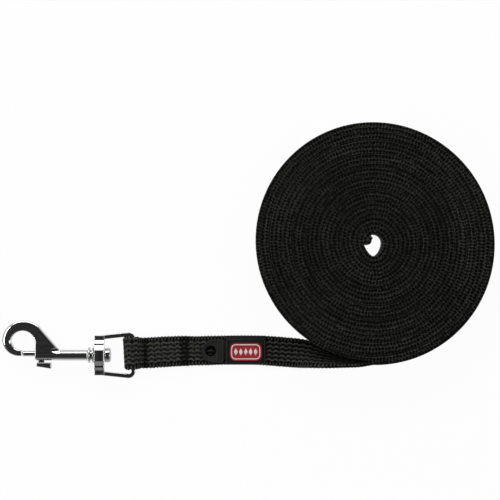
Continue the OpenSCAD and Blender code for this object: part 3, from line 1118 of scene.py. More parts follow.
@dataclass
class Lead:
    """The free stretch of strap from the loop to the coil: flat at first, then turned on its edge."""

    step: float = 0.3
    # X, Y, how many straps lie under it, and roll in degrees; it turns on its edge close along the coil.
    rows: Sequence[Point] = (
        (-53.5, -52.5, 1, 0), (-50, -52.45, 1, 0), (-44, -51.9, 1, 0), (-38, -51.6, 1, 0),
        (-33, -51.3, 1, 0), (-30, -51.35, 1, 0), (-27, -51.45, 0.5, 0), (-24, -51.45, 0, 0),
        (-21, -51.35, 0, 0), (-13, -51.15, 0, 0), (-4, -51.0, 0, 0), (3, -51.05, 0, 0),
        (8, -51.25, 0, 0), (12, -51.5, 0, 1), (16, -51.75, 0, 3), (22, -52.25, 0, 7),
        (26, -52.5, 0, 11.7), (30, -52.95, 0, 20.8), (32, -53.3, 0, 27), (34, -53.8, 0, 35.9),
        (38, -54.75, 0, 50), (41, -55.35, 0, 58.5), (45.6, -56.1, 0, 67.5), (51.6, -56.8, 0, 76),
        (57.2, -57.15, 0, 80), (61.3, -57.05, 0, 85), (65, -56.91, 0, 90),
    )
    columns: dict = field(default_factory=lambda: {"face": 52, "far": 8, "back": 40, "near": 8})
    weave: Weave = field(default_factory=Weave)
    # The dark bands where stitching presses the strap: first and last X.
    pressed: Sequence[Point] = ((-52.8, -52.0), (-33.0, -30.6))
    # The tongue's hole, whose rim presses the strap in, with painted shade on the strap inside it: X, Y and
    # radius.
    shaded_hole: Point = (-18.6, -51.5, 2.9)
    hole_shade_lip: float = 0.5       # how far the press and its painted shade reach beyond the hole
    hole_shade_force: Point = (0.55, 0.5)     # press and painted shade in the hole's middle, and how much more at its rim
    even: int = 15              # how many points the route's bends are evened over
    # How the stitching's bands waver, in mm and per mm, fade out, and change in force.
    waver: Point = (0.25, 1.3)
    fade: Point = (0.5, 0.25)
    force: Point = (0.8, 0.15, 2.1)

    def route(self) -> Route:
        """Lays out the lead's way.

        Returns:
            The route.
        """
        table = np.array(self.rows, dtype=float)
        x = np.arange(table[0, 0], table[-1, 0] + 1e-6, self.step)
        x[-1] = table[-1, 0]
        y, layers, roll = (smooth_rows(np.interp(x, table[:, 0], table[:, i]), self.even) for i in (1, 2, 3))
        roll = np.radians(np.clip(roll, 0, 90))
        wide = spread(x)
        half, deep = wide * self.weave.width / 2, self.weave.thick / 2
        z = np.clip(layers, 0, 1) * self.weave.thick + half * np.sin(roll) + deep * np.cos(roll)
        route = frame_route(np.stack([x, y, z], 1), roll, 0.0)
        route.across *= wide[:, None]
        return route

    def press_and_shade(self, points: np.ndarray) -> np.ndarray:
        """Tells how hard the stitching and the tongue's hole press the strap, and how dark the painted shade
        in the hole is.

        Args:
            points: Points in mm.

        Returns:
            The force at each, 0 to about 1.
        """
        x, y = points[..., 0], points[..., 1]
        force = np.zeros(points.shape[:-1])
        bent = x + self.waver[0] * np.sin(self.waver[1] * y)
        for first, last in self.pressed:
            near = np.maximum(np.maximum(first - bent, bent - last), 0)
            force = np.maximum(force, np.exp(-(near / (self.fade[0] + self.fade[1] * (last - first))) ** 2))
        force = force * (self.force[0] + self.force[1] * np.sin(self.force[2] * y + x))
        # The strap inside the tongue's hole is pressed in and darkened with painted shade, most at the rim.
        hole_x, hole_y, radius = self.shaded_hole
        off = np.hypot(x - hole_x, y - hole_y)
        shaded_hole = self.hole_shade_force[0] + self.hole_shade_force[1] * off / radius
        return np.maximum(force, np.where(off < radius + self.hole_shade_lip, shaded_hole, 0.0))

    def build(self, route: Route) -> Piece:
        """Makes and dresses the lead's mesh."""
        piece = Band(self.weave).build("strap_lead_webbing", route, self.columns, self.press_and_shade)
        return hang(piece, Body.STRAP, "strap_lead", "webbing", WEBBING)

    @staticmethod
    def declare(piece: Piece, route: Route, sewn_on: Sequence[Piece]) -> None:
        """Does nothing: the lead, a cord between the loop and the coil with pieces sewn on it, is not
        declared.

        Args:
            piece: The lead; not used.
            route: Its route; not used.
            sewn_on: The pieces on it; not used.
        """


@dataclass
class Loop:
    """The loop round the frame's bar and the tail that lies back under the lead."""

    tail_end: float = -30.2
    bend_x: float = -59.3
    bend_z: float = 4.3
    bend_radius: float = 3.4
    sweep: float = 228.9
    bend_step: float = 0.2
    lead_x: float = -53.5
    lead_z: float = 2.7
    # The strap comes out of the lead level and then climbs to the bar: how far back and up.
    climb: Sequence[Point] = ((0, 0), (0.9, 0.1), (1.8, 0.9))
    # X and Y of the middle line: the tail lies nearly straight under the lead.
    line: Sequence[Point] = ((-62.5, -52.55), (-57, -52.35), (-53.5, -52.5), (-44, -52.1), (-33, -51.65),
                             (-30, -51.65))
    skew: float = -0.055        # how far the fold lies aslant on the bar, along X per mm of width
    skew_x: Point = (-54.0, -60.0)      # where the skew starts and where it is whole
    step: float = 0.3
    even: int = 7               # how many points the route's bends are evened over
    columns: dict = field(default_factory=lambda: {"face": 40, "far": 10, "back": 52, "near": 10})
    # Round the bar the edges draw in, so that the fold's corners are soft.
    weave: Weave = field(default_factory=lambda: Weave(edge_round=1.1))

    def route(self) -> Route:
        """Lays out the loop's way, from the lead round the bar to the tail's end.

        Returns:
            The route.
        """
        climb = [(self.lead_x - back, self.lead_z + up) for back, up in self.climb]
        turn = arc((self.bend_x, self.bend_z), self.bend_radius, 270 - self.sweep, 270, self.bend_step)
        corners = np.array(climb + turn + [(self.tail_end, self.bend_z - self.bend_radius)])
        gone = np.concatenate([[0], np.cumsum(np.linalg.norm(np.diff(corners, axis=0), axis=1))])
        s = np.arange(0, gone[-1], self.step)
        x, z = (smooth_rows(np.interp(s, gone, corners[:, i]), self.even) for i in (0, 1))
        middle = np.stack([x, np.interp(x, *np.transpose(self.line)), z], 1)
        run = np.gradient(middle, axis=0)
        run /= np.linalg.norm(run, axis=1)[:, None]
        start, whole = self.skew_x
        slant = self.skew * np.clip((start - x) / (start - whole), 0, 1)
        across = np.stack([slant, np.ones_like(x), np.zeros_like(x)], 1)
        # The strap's face looks out of the loop: it is the lead's face carried on round the bar.
        return Route(middle, across * spread(x)[:, None], np.cross(across, run), -s)

    def build(self) -> Piece:
        """Returns:
            The loop.
        """
        route = self.route()
        piece = Band(self.weave).build("strap_loop_webbing", route, self.columns)
        hang(piece, Body.STRAP, "strap_loop", "webbing", WEBBING)
        route.length()
        return piece


@dataclass
class Coil:
    """The wound strap: half turns of falling radius, and a folded hem at the inner end."""

    middle: Point = (65.0, 4.2125)
    radius: float = 59.9125
    drop: float = 1.135         # a half turn's radius is smaller than the last one's by this
    half_turns: int = 49
    step: float = 0.425         # a quarter of the weave's bars
    hem_fold: float = 0.98      # the radius of the hem's fold
    hem_step: float = 0.25
    hem_turns: float = 0.4      # how long the hem is, counted in turns
    hem_back: float = 120.0     # the angle at which it ends
    # The turns' top edges lean and rise a little out of place, by slow waves: so many to a turn.
    gap_sway: float = 0.13
    lift: float = 0.16
    waves: Sequence[float] = (0.37, 0.73, 1.19, 1.61, 2.37)
    wave_sum: float = 2.2       # what the sum of the waves is divided by
    wave_seed: int = 7
    ramps: Point = (0.4, 0.8)   # they fade out over these turns, at the outer and the inner end
    # The winding is not quite round: a constant and two waves, as cosine and sine, swell the outline.
    swell: Sequence[float] = (0.71, -0.09, -0.23, -0.26, -0.25)
    sag: float = 2.4            # how far the core hangs down towards the near side
    sag_reach: Point = (26.0, 6.0)      # radii at which the sag starts and is whole
    # Webbing that is wound swells until its turns touch, so no light comes up between them.
    weave: Weave = field(default_factory=lambda: Weave(
        thick=2.2, foot=0.18, edge_round=0.28, relief=0.24, edge_tone=0.95, scallop=0, hidden=(Side.FACE,)))
    core_tone: float = 0.9      # the core's edges lie a little deeper in the shade
    # Rows round the section: the top edge shows, the flat sides of inner turns hide.
    outer: dict = field(default_factory=lambda: {"face": 4, "far": 5, "back": 52, "near": 8})
    inner: dict = field(default_factory=lambda: {"face": 3, "far": 3, "back": 3, "near": 9})
    # The half turns at which the band is cut into pieces.
    cuts: Sequence[int] = (2, 16)

    def plan(self) -> tuple[np.ndarray, np.ndarray, list[int]]:
        """Lays out the coil's line.

        Returns:
            The points in X and Y, the count of turns at each, and the number of the first point of
            each half turn.
        """
        spots, turns, starts = [], [], []
        for k in range(self.half_turns):
            centre = (self.middle[0], self.middle[1] + (k % 2) * self.drop)
            line = arc(centre, self.radius - self.drop * k, -90 + 180 * k, 90 + 180 * k, self.step)[:-1]
            starts.append(len(spots))
            spots += line
            turns += list(k / 2 + np.arange(len(line)) / len(line) / 2)
        last = self.radius - self.drop * self.half_turns
        centre = (self.middle[0], self.middle[1] + self.drop)
        hem = arc(centre, last, 90, 180, self.step)
        # The hem: the end turns in on itself and lies along the inside of the last turn.
        fold = self.hem_fold
        hem += arc((hem[-1][0] + fold, hem[-1][1]), fold, 180, 360, self.hem_step)[1:]
        hem += arc(centre, last - 2 * fold, 180, self.hem_back, self.step)[1:]
        spots += hem
        turns += list(self.half_turns / 2 + np.linspace(0, self.hem_turns, len(hem)))
        return self.settle(np.array(spots)), np.array(turns), starts

    def settle(self, spots: np.ndarray) -> np.ndarray:
        """Brings a plain round winding into the shape that it settles in.

        Args:
            spots: Points of the plain winding in X and Y.

        Returns:
            The moved points.
        """
        arm = spots - self.middle
        reach, angle = np.linalg.norm(arm, axis=1), np.arctan2(arm[:, 1], arm[:, 0])
        waves = (np.ones_like(angle), np.cos(angle), np.sin(angle), np.cos(2 * angle), np.sin(2 * angle))
        grown = sum(size * wave for size, wave in zip(self.swell, waves)) / self.radius
        moved = self.middle + arm * (1 + grown)[:, None]
        start, whole = self.sag_reach
        hung = np.clip((start - reach) / (start - whole), 0, 1) * np.clip(-np.sin(angle), 0, 1) ** 2
        moved[:, 1] -= self.sag * hung
        return moved

    def route(self, start: float) -> tuple[Route, list[int]]:
        """Gives the coil's route and the first ring of each half turn.

        Args:
            start: The strap's length before the coil.

        Returns:
            The route and the rings' numbers.
        """
        spots, turns, starts = self.plan()
        outside, inside = self.ramps
        ramp = np.clip(turns / outside, 0, 1) * np.clip((self.half_turns / 2 - turns) / inside, 0, 1)
        phases = np.random.default_rng(self.wave_seed).uniform(0, 2 * np.pi, (2, len(self.waves)))
        sway, rise = (sum(np.sin(2 * np.pi * rate * turns + phase) for rate, phase in zip(self.waves, row))
                      / self.wave_sum for row in phases)
        z = self.weave.width / 2 + self.lift * np.maximum(1 + rise, 0) * ramp
        route = frame_route(np.column_stack([spots, z]), np.full(len(spots), np.pi / 2), start)
        lean = route.through * (self.gap_sway * sway * ramp)[:, None]
        route.middle += lean / 2
        route.across -= lean / self.weave.width
        return route, starts

    def build(self, start: float) -> list[Piece]:
        """Args:
            start: The strap's length before the coil.

        Returns:
            The pieces from the outside in.
        """
        route, starts = self.route(start)
        edges = [0] + [starts[k] for k in self.cuts] + [len(route.middle) - 1]
        names = ("strap_coil_outer_turn", "strap_coil_middle_turns", "strap_coil_core")
        pieces = []
        for name, first, last in zip(names, edges, edges[1:]):
            part = route.part(first, last)
            weave = self.weave if first == 0 else replace(self.weave, hidden=(Side.FACE, Side.BACK))
            if last == edges[-1]:
                weave = replace(weave, edge_tone=self.core_tone)
            piece = Band(weave).build(name, part, self.outer if first == 0 else self.inner)
            hang(piece, Body.STRAP, "strap_coil", "webbing", WEBBING)
            part.length()
            pieces.append(piece)
        return pieces


# Sewn-on pieces


@dataclass
class StitchRows:
    """Rows of stitches across the strap, each a short arch of twisted thread."""

    node: str
    lines: Sequence[float]
    y: float
    z: float
    count: int
    pitch: float
    long: float = 1.6
    arch: float = 0.34
    sunk: float = 0.22          # how deep a stitch's ends lie in the strap
    ply: float = 0.14           # radius of a ply
    twine: float = 0.12         # radius at which the plies wind round each other
    twist: float = 1.6          # how far they wind, in half turns
    rings: int = 9
    sides: int = 6
    stray: float = 0.08         # how far a stitch strays along X
    stray_turn: float = 9.0     # how far it turns, in degrees
    smooth: float = 60.0

    def stitch(self) -> Piece:
        """Models one stitch along Y: two plies that are extruded along an arch and twist round each other.

        Returns:
            The stitch at zero.
        """
        plies = []
        for start in (0.0, math.pi):
            spots = []
            for t in np.linspace(0, 1, self.rings):
                arch = self.arch * math.sin(math.pi * t) - self.sunk
                angle = start + self.twist * math.pi * t
                spots.append(Vector((self.twine * math.cos(angle), (t - 0.5) * self.long,
                                     arch + self.twine * math.sin(angle))))
            ply = Bench.disc("ply", spots[0], self.ply, (-math.pi / 2, 0, 0), self.sides)
            Bench.extrude(ply, [b - a for a, b in zip(spots, spots[1:])])
            plies.append(ply)
        return Bench.join(plies)

    def build(self) -> Piece:
        """Copies the stitch along its rows, and joins and dresses them.

        Returns:
            The stitches.
        """
        pattern = self.stitch()
        draw = np.random.default_rng(int(abs(self.lines[0]) * 10))
        made = []
        for x in self.lines:
            for i in range(self.count):
                y = self.y + (i - (self.count - 1) / 2) * self.pitch
                place = (x + draw.uniform(-self.stray, self.stray), y, self.z)
                made.append(Bench.copy(pattern, place, draw.uniform(-self.stray_turn, self.stray_turn)))
        bpy.data.objects.remove(pattern, do_unlink=True)
        piece = Bench.join(made)
        piece.name = piece.data.name = self.node + "_thread"
        Bench.set_down(piece, PART_ZERO, self.smooth)
        return hang(piece, Body.STRAP, self.node, "thread", THREAD)


@dataclass
class RubberTab:
    """The D-shaped rubber tongue with its round hole, its raised rim and the ribs at its root."""

    tip: float = -23.2
    root: float = -11.8
    y: float = -51.5
    radius: float = 5.95
    corner: float = 0.6
    corner_turn: float = 80.0   # a corner's arc stops short of the straight side
    corner_step: float = 0.2
    tip_step: float = 0.45
    side_start: float = 0.5     # how far past the tip's arc the straight side starts
    side_points: int = 9
    low: float = 1.8
    high: float = 3.0
    rim: float = 0.85
    rim_high: float = 0.16      # above the sunk middle
    rim_round: float = 0.26
    hole_x: float = -18.6
    hole_radius: float = 2.9
    # How far each rib lies from the root, and how far it stands up.
    ribs: Sequence[Point] = ((0.55, 0.3), (1.75, 0.06), (2.95, 0.06))
    rib_half: Point = (0.33, 4.9)
    rib_foot: float = 0.5       # a rib starts this far above the tongue's underside
    rib_round: float = 0.2
    # The thin root that runs on under the badge.
    tongue_start: float = -12.8
    tongue_end: float = -6.7
    tongue_half: float = 4.5
    tongue_thick: float = 0.4
    tongue_round: float = 0.12
    beyond: float = 1.0         # how far a cutting tool stands out
    smooth: float = 35.0

    def outline(self, inset: float) -> list[tuple[float, float]]:
        """Gives the D shape's outline.

        Args:
            inset: How far it is drawn in.

        Returns:
            The points.
        """
        r = self.corner
        x, radius, root = self.tip + self.radius, self.radius - inset, self.root - inset - r
        side = np.linspace(x + self.side_start, root, self.side_points)
        points = arc((x, self.y), radius, 90, 270, self.tip_step)
        points += [(place, self.y - radius) for place in side]
        points += arc((root, self.y - radius + r), r, -self.corner_turn, 0, self.corner_step)
        points += arc((root, self.y + radius - r), r, 0, self.corner_turn, self.corner_step)
        return points + [(place, self.y + radius) for place in side[::-1]]

    def build(self) -> Piece:
        """Models and dresses the tongue: its middle is sunk a little inside a rim.

        Returns:
            The tongue.
        """
        piece = Bench.slab("rubber_tab_moulding", self.outline(0.0), self.low, self.high)
        sunk = Bench.slab("sunk", self.outline(self.rim), self.high - self.rim_high, self.high + self.beyond)
        Bench.combine(piece, sunk, Join.CUT)
        hole = Bench.disc("hole", (self.hole_x, self.y, self.low - self.beyond), self.hole_radius, sides=56)
        Bench.extrude(hole, [(0, 0, self.high - self.low + 2 * self.beyond)])
        Bench.combine(piece, hole, Join.CUT)
        Bench.round_edges(piece, self.rim_round, angle=50)
        parts = [piece]
        half, wide = self.rib_half
        for back, up in self.ribs:
            x = self.root - back
            rib = Bench.block("rib", (x - half, self.y - wide, self.low + self.rib_foot),
                              (x + half, self.y + wide, self.high + up))
            Bench.round_edges(rib, self.rib_round)
            parts.append(rib)
        root = Bench.block("root", (self.tongue_start, self.y - self.tongue_half, self.low),
                           (self.tongue_end, self.y + self.tongue_half, self.low + self.tongue_thick))
        Bench.round_edges(root, self.tongue_round, segments=2)
        piece = Bench.set_down(Bench.join(parts + [root]), PART_ZERO, self.smooth)
        return hang(piece, Body.STRAP, "rubber_tab", "tongue", RUBBER)


@dataclass
class Badge:
    """The sewn-on badge: a dark base with a raised border, and a plain red inlay with a row of diamonds."""

    low: Point = (-10.7, -58.55, 1.8)
    high: Point = (9.7, -43.55, 2.7)
    base_corner: float = 0.5
    base_round: float = 0.14
    field_z: float = 2.45
    bead_low: Point = (-10.5, -58.3)
    bead_high: Point = (9.5, -45.5)
    bead: float = 0.45
    bead_corner: float = 0.7
    bead_round: float = 0.12
    inlay_low: Point = (-8.7, -56.5)
    inlay_high: Point = (7.7, -47.3)
    inlay_z: float = 3.0
    corner: float = 3.0
    raised: float = 0.12        # how far the pale border stands up
    # Width and rise of each step in from the inlay's rim: red, up, pale border, down.
    border: Sequence[Point] = ((0.7, 0), (0.08, 1), (0.34, 0), (0.08, -1))
    diamonds: int = 5
    diamond: Point = (1.0, 1.9)
    diamond_deep: float = 0.2
    diamond_round: float = 0.08
    margin: float = 3.6         # what the row of diamonds leaves free along X
    beyond: float = 1.0         # how far a cutting tool stands out
    smooth: float = 35.0

    @staticmethod
    def outline(low: Point, high: Point, corner: float) -> list[tuple[float, float]]:
        """Gives a rectangle's outline with round corners.

        Args:
            low: Its lowest corner.
            high: Its highest corner.
            corner: The radius of its corners.

        Returns:
            The points.
        """
        (x0, y0), (x1, y1), r = low[:2], high[:2], corner
        turns = ((x1 - r, y1 - r, 0), (x0 + r, y1 - r, 90), (x0 + r, y0 + r, 180), (x1 - r, y0 + r, 270))
        return [p for x, y, start in turns for p in arc((x, y), r, start, start + 90, step=0.3)]

    def build_base(self) -> Piece:
        """Models and dresses the base: a slab with a raised bead round its field.

        Returns:
            The base.
        """
        bottom, top = self.low[2], self.high[2]
        outline = self.outline(self.low, self.high, self.base_corner)
        piece = Bench.slab("badge_base_moulding", outline, bottom, self.field_z)
        Bench.round_edges(piece, self.base_round, angle=50)
        low, high = np.array(self.bead_low), np.array(self.bead_high)
        wide, corner = self.bead, self.bead_corner
        bead = Bench.slab("bead", self.outline(low, high, corner), bottom, top)
        inside = self.outline(low + wide, high - wide, corner - wide / 2)
        Bench.combine(bead, Bench.slab("inside", inside, bottom - self.beyond, top + self.beyond), Join.CUT)
        Bench.round_edges(bead, self.bead_round, angle=50)
        paler = len(piece.data.polygons)
        piece = Bench.set_down(Bench.join([piece, bead]), PART_ZERO, self.smooth)
        hang(piece, Body.STRAP, "badge_base", "badge", BADGE_PVC, BEAD_PVC)
        # The bead's faces take the paler PVC: a painted highlight along the raised border.
        for face in piece.data.polygons[paler:]:
            face.material_index = 1
        return piece

    def build_inlay(self) -> Piece:
        """Models and dresses the inlay, with a thin pale border and a row of pale diamonds.

        Returns:
            The inlay.
        """
        (x0, y0), (x1, y1) = self.inlay_low, self.inlay_high
        middle_x, middle_y = (x0 + x1) / 2, (y0 + y1) / 2
        outline = self.outline(self.inlay_low, self.inlay_high, self.corner)
        piece = Bench.slab("badge_inlay", outline, self.field_z, self.inlay_z - self.raised)
        Bench.pick(piece, "FACE", lambda p: p.z > self.inlay_z - self.raised - 0.01)
        for wide, rise in self.border:
            bpy.ops.mesh.inset(thickness=wide * MM, depth=rise * self.raised * MM)
        Bench.take()
        parts = [piece]
        pitch = (x1 - x0 - self.margin) / self.diamonds
        wide, tall = self.diamond
        for i in range(self.diamonds):
            x = middle_x + (i - (self.diamonds - 1) / 2) * pitch
            mark = Bench.disc("diamond", (x, middle_y, self.inlay_z - self.diamond_deep), 1.0, sides=4)
            for vertex, (dx, dy) in zip(mark.data.vertices, ((0, tall), (-wide, 0), (0, -tall), (wide, 0))):
                vertex.co.x, vertex.co.y = (x + dx) * MM, (middle_y + dy) * MM
            Bench.extrude(mark, [(0, 0, self.diamond_deep)])
            Bench.round_edges(mark, self.diamond_round, segments=2)
            parts.append(mark)
        piece = Bench.set_down(Bench.join(parts), PART_ZERO, self.smooth)
        hang(piece, Body.STRAP, "badge_panel", "inlay", RED_PVC, IVORY_PVC)
        for face in piece.data.polygons:
            face.material_index = int(face.center.z > (self.inlay_z - 0.1) * MM)
        return piece


# Bolt snap


@dataclass
class HookBody:
    """The open bow and the barrel, one casting, in the snap's own mm."""

    bow: Point = (-6.6, 7.4)
    bow_radius: float = 10.3
    nose: Point = (-8.2, 8.3)
    nose_radius: float = 8.7
    eye: Point = (-6.2, 6.3)
    eye_radius: float = 6.3
    gullet: Point = (-6.766, 8.0)
    gullet_radius: float = 5.5
    meet_y: float = 8.0         # the bow's arcs go over into the nose's at this height
    nose_end: float = -6.9
    nose_thin: float = 0.26     # how much thinner the nose is at the mouth
    nose_past: float = 0.5      # what lies up to this far past the nose's end thins with it
    shoulder_turn: float = 42.0     # where the bow's arc goes over into the web's slope, in degrees
    bulge: float = 1.1          # how far the bow has widened there
    bulge_turn: float = 110.0   # where it starts to widen
    web_foot: Point = (12.7, 2.6)
    web_sunk: float = 0.232     # how far the slope runs on into the barrel, as a share of its length
    # The web's lower end, which is sunk in the barrel: how far before the slope's end it starts and its Y
    # there, and the points that follow.
    web_turn: Point = (0.9, -0.45)
    web_end: Sequence[Point] = ((11.0, -0.5), (8.0, -0.5), (5.0, -0.5), (2.5, -0.5), (0.5, -0.4))
    # The outline's joints, in degrees: what two arcs leave free, and where the inner arcs start.
    joint: float = 2.0
    eye_start: float = 4.0
    gullet_start: float = 184.0
    # Numbers of points on the bow, the slope and the straight side under the eye.
    bow_points: int = 48
    slope_points: int = 38
    side_points: int = 11
    side_ends: Point = (0.2, 0.5)   # the side's lower end, and how far it stops below the eye's middle
    half_thick: float = 2.7
    # How round the rims are: the widest rounding, and the share of it on each stretch.
    round_width: float = 2.4
    nose_share: float = 0.95
    bow_share: float = 0.55
    slope_share: float = 0.72
    foot_share: float = 0.3
    eye_share: float = 0.34
    gullet_share: float = 0.9
    # Towards the nose the rims get rounder between two X, and towards the mouth slimmer between two Y.
    nosed_x: Point = (-9.0, -13.0)
    nosed_share: float = 0.93
    mouth_y: Point = (0.5, 6.5)
    mouth_share: float = 0.55   # the largest share at the lower Y
    mouth_more: float = 0.4     # how much more it is at the higher Y
    rim_start: float = 40.0     # the rims' rounding starts at this angle, with a clear edge below it
    rim_steps: int = 6
    rim_even: int = 30          # how often the shares are evened out
    sharp_turn: float = 25.0    # a corner of the outline that turns by more, in degrees, is sharp
    # The widest rounding at such a corner, and how it grows with the distance.
    sharp_round: Point = (0.2, 0.5)
    # X and radius of the barrel's rows, from its mouth to the collar's end.
    barrel_rows: Sequence[Point] = (
        (0, 2.45), (0.12, 2.68), (0.4, 2.8), (9, 2.8), (18, 2.8), (27.0, 2.8), (27.25, 3.3),
        (27.45, 4.0), (27.7, 4.2), (28.1, 4.2), (28.35, 4.0), (28.5, 3.65))
    voxel: float = 0.2
    passes: int = 7             # how often the casting is smoothed
    bore_rows: Sequence[Point] = ((-1, 1.5), (23.5, 1.5))
    bore_y: float = 0.8
    seat_rows: Sequence[Point] = ((23.0, 2.0), (29.5, 2.0))
    slot_low: Point = (1.1, -4.0, -1.0)
    slot_high: Point = (12.3, 0.8, 1.0)
    slot_round: float = 0.95
    groove: Point = (2.6, 3.6)  # Y and Z of the groove's axis
    groove_rows: Sequence[Point] = ((6.6, 0.85), (7.6, 1.0), (8.8, 1.25), (10, 1.6), (11.2, 1.85), (20, 1.85))

    def outline(self) -> tuple[list[tuple[float, float]], list[float]]:
        """Gives the bow's and web's outline and how round each stretch of its rim is.

        Returns:
            The points, and a share of the widest rounding for each.
        """
        def mouth(centre: Point, radius: float) -> float:
            """Gives the angle in degrees at which a circle's lower half meets the nose's end."""
            return -math.degrees(math.acos((self.nose_end - centre[0]) / radius))

        def level(centre: Point, radius: float) -> float:
            """Gives the angle in degrees at which a circle's left side is at the meeting height."""
            return 180 - math.degrees(math.asin((self.meet_y - centre[1]) / radius))

        first = level(self.bow, self.bow_radius) - self.joint
        turns = np.linspace(first, self.shoulder_turn, self.bow_points)
        widened = np.clip((self.bulge_turn - turns) / (self.bulge_turn - self.shoulder_turn), 0, 1) ** 2
        reach, turns = self.bow_radius + self.bulge * widened, np.radians(turns)
        bow = np.array(self.bow) + np.stack([reach * np.cos(turns), reach * np.sin(turns)], 1)
        shoulder, foot = bow[-1], np.array(self.web_foot)
        sunk = foot + (foot - shoulder) * self.web_sunk
        side = np.linspace(self.side_ends[0], self.eye[1] - self.side_ends[1], self.side_points)
        runs = [
            (arc(self.nose, self.nose_radius, mouth(self.nose, self.nose_radius),
                 level(self.nose, self.nose_radius) + self.joint - 360), self.nose_share),
            ([tuple(p) for p in bow], self.bow_share),
            ([tuple(p) for p in np.linspace(shoulder, sunk, self.slope_points)[1:]], self.slope_share),
            ([(sunk[0] - self.web_turn[0], self.web_turn[1]), *self.web_end], self.foot_share),
            ([(0.0, y) for y in side], self.foot_share),
            (arc(self.eye, self.eye_radius, self.eye_start, level(self.eye, self.eye_radius)),
             self.eye_share),
            (arc(self.gullet, self.gullet_radius, self.gullet_start,
                 360 + mouth(self.gullet, self.gullet_radius)), self.gullet_share),
        ]
        points = [p for run, _ in runs for p in run]
        shares = [share for run, share in runs for _ in run]
        # The bow is flat at its top and goes over into a round nose, which gets slimmer towards the mouth.
        (start, whole), (low, high) = self.nosed_x, self.mouth_y
        for i, (x, y) in enumerate(points):
            if x < self.nose_end and y < self.bow[1] + self.bow_radius:
                nosed = min(1.0, max(0.0, (start - x) / (start - whole)))
                shares[i] = shares[i] * (1 - nosed) + self.nosed_share * nosed
                most = self.mouth_share + self.mouth_more * max(0.0, y - low) / (high - low)
                shares[i] = min(shares[i], most)
        return points, shares

    def build_bow(self) -> Piece:
        """Models the bow and web: the outline's face is extruded in steps, drawn in to round the rims.

        Returns:
            The bow and web.
        """
        points, shares = self.outline()
        outline, even, steps = np.array(points), np.array(shares), self.rim_steps
        first = math.radians(self.rim_start)
        for _ in range(self.rim_even):
            even = (np.roll(even, 1) + even + np.roll(even, -1)) / 3
        run = np.roll(outline, -1, 0) - np.roll(outline, 1, 0)
        inward = np.stack([run[:, 1], -run[:, 0]], 1) / np.linalg.norm(run, axis=1)[:, None]
        turn = np.angle(np.exp(1j * np.diff(np.arctan2(run[:, 1], run[:, 0]), append=0)))
        # Near a sharp corner of the outline the rounding runs out, so that it doesn't cross itself.
        wide = self.round_width * even
        for corner in outline[np.abs(turn) > math.radians(self.sharp_turn)]:
            away = np.linalg.norm(outline - corner, axis=1)
            wide = np.minimum(wide, self.sharp_round[0] + self.sharp_round[1] * away)
        piece = Bench.slab("hook_body_casting", points, 0.0, 1.0)
        Bench.pick(piece, "FACE", lambda p: p.z > 0.99)
        for _ in range(2 * steps):
            Bench.extend((0, 0, 1))
        Bench.tidy(piece)
        for vertex in piece.data.vertices:
            spot = np.array(vertex.co) / MM
            near = int(np.argmin(np.linalg.norm(outline - spot[:2], axis=1)))
            row = int(round(spot[2]))
            upper = row > steps
            share = (row - steps - 1) / steps if upper else 1 - row / steps
            angle = first + (math.pi / 2 - first) * share
            x, y = outline[near] + inward[near] * wide[near] * (1 - math.cos(angle) / math.cos(first))
            z = self.half_thick - wide[near] * (1 - math.sin(angle)) / math.cos(first)
            # The nose thins towards the mouth.
            if outline[near][1] < self.meet_y and outline[near][0] < self.nose_end + self.nose_past:
                z *= 1 - self.nose_thin * min(1.0, (self.meet_y - outline[near][1]) / self.meet_y)
            vertex.co = Vector((x, y, z if upper else -z)) * MM
        return piece

    def build(self) -> Piece:
        """Models and dresses the casting: a shallow groove on each side parts the web's foot from the barrel.

        Returns:
            The casting.
        """
        piece = self.build_bow()
        groove = Bench.lathe("groove", self.groove_rows, self.groove[0])
        for side in (-1, 1):
            Bench.combine(piece, Bench.copy(groove, (0, 0, side * self.groove[1])), Join.CUT)
        bpy.data.objects.remove(groove, do_unlink=True)
        barrel = Bench.lathe("barrel", self.barrel_rows, sides=64)
        piece = Bench.cast([piece, barrel], self.voxel, self.passes)
        Bench.combine(piece, Bench.lathe("bore", self.bore_rows, self.bore_y), Join.CUT)
        Bench.combine(piece, Bench.lathe("seat", self.seat_rows), Join.CUT)
        slot = Bench.block("slot", self.slot_low, self.slot_high)
        middle = (self.slot_low[1] + self.slot_high[1]) / 2
        Bench.pick(slot, "EDGE", lambda p: abs(p.y - middle) < 0.01)
        bpy.ops.mesh.bevel(offset=self.slot_round * MM, segments=6)
        Bench.take()
        Bench.combine(piece, slot, Join.CUT)
        return hang(Bench.set_down(piece), Body.HOOK, "hook_body", "plated", NICKEL)


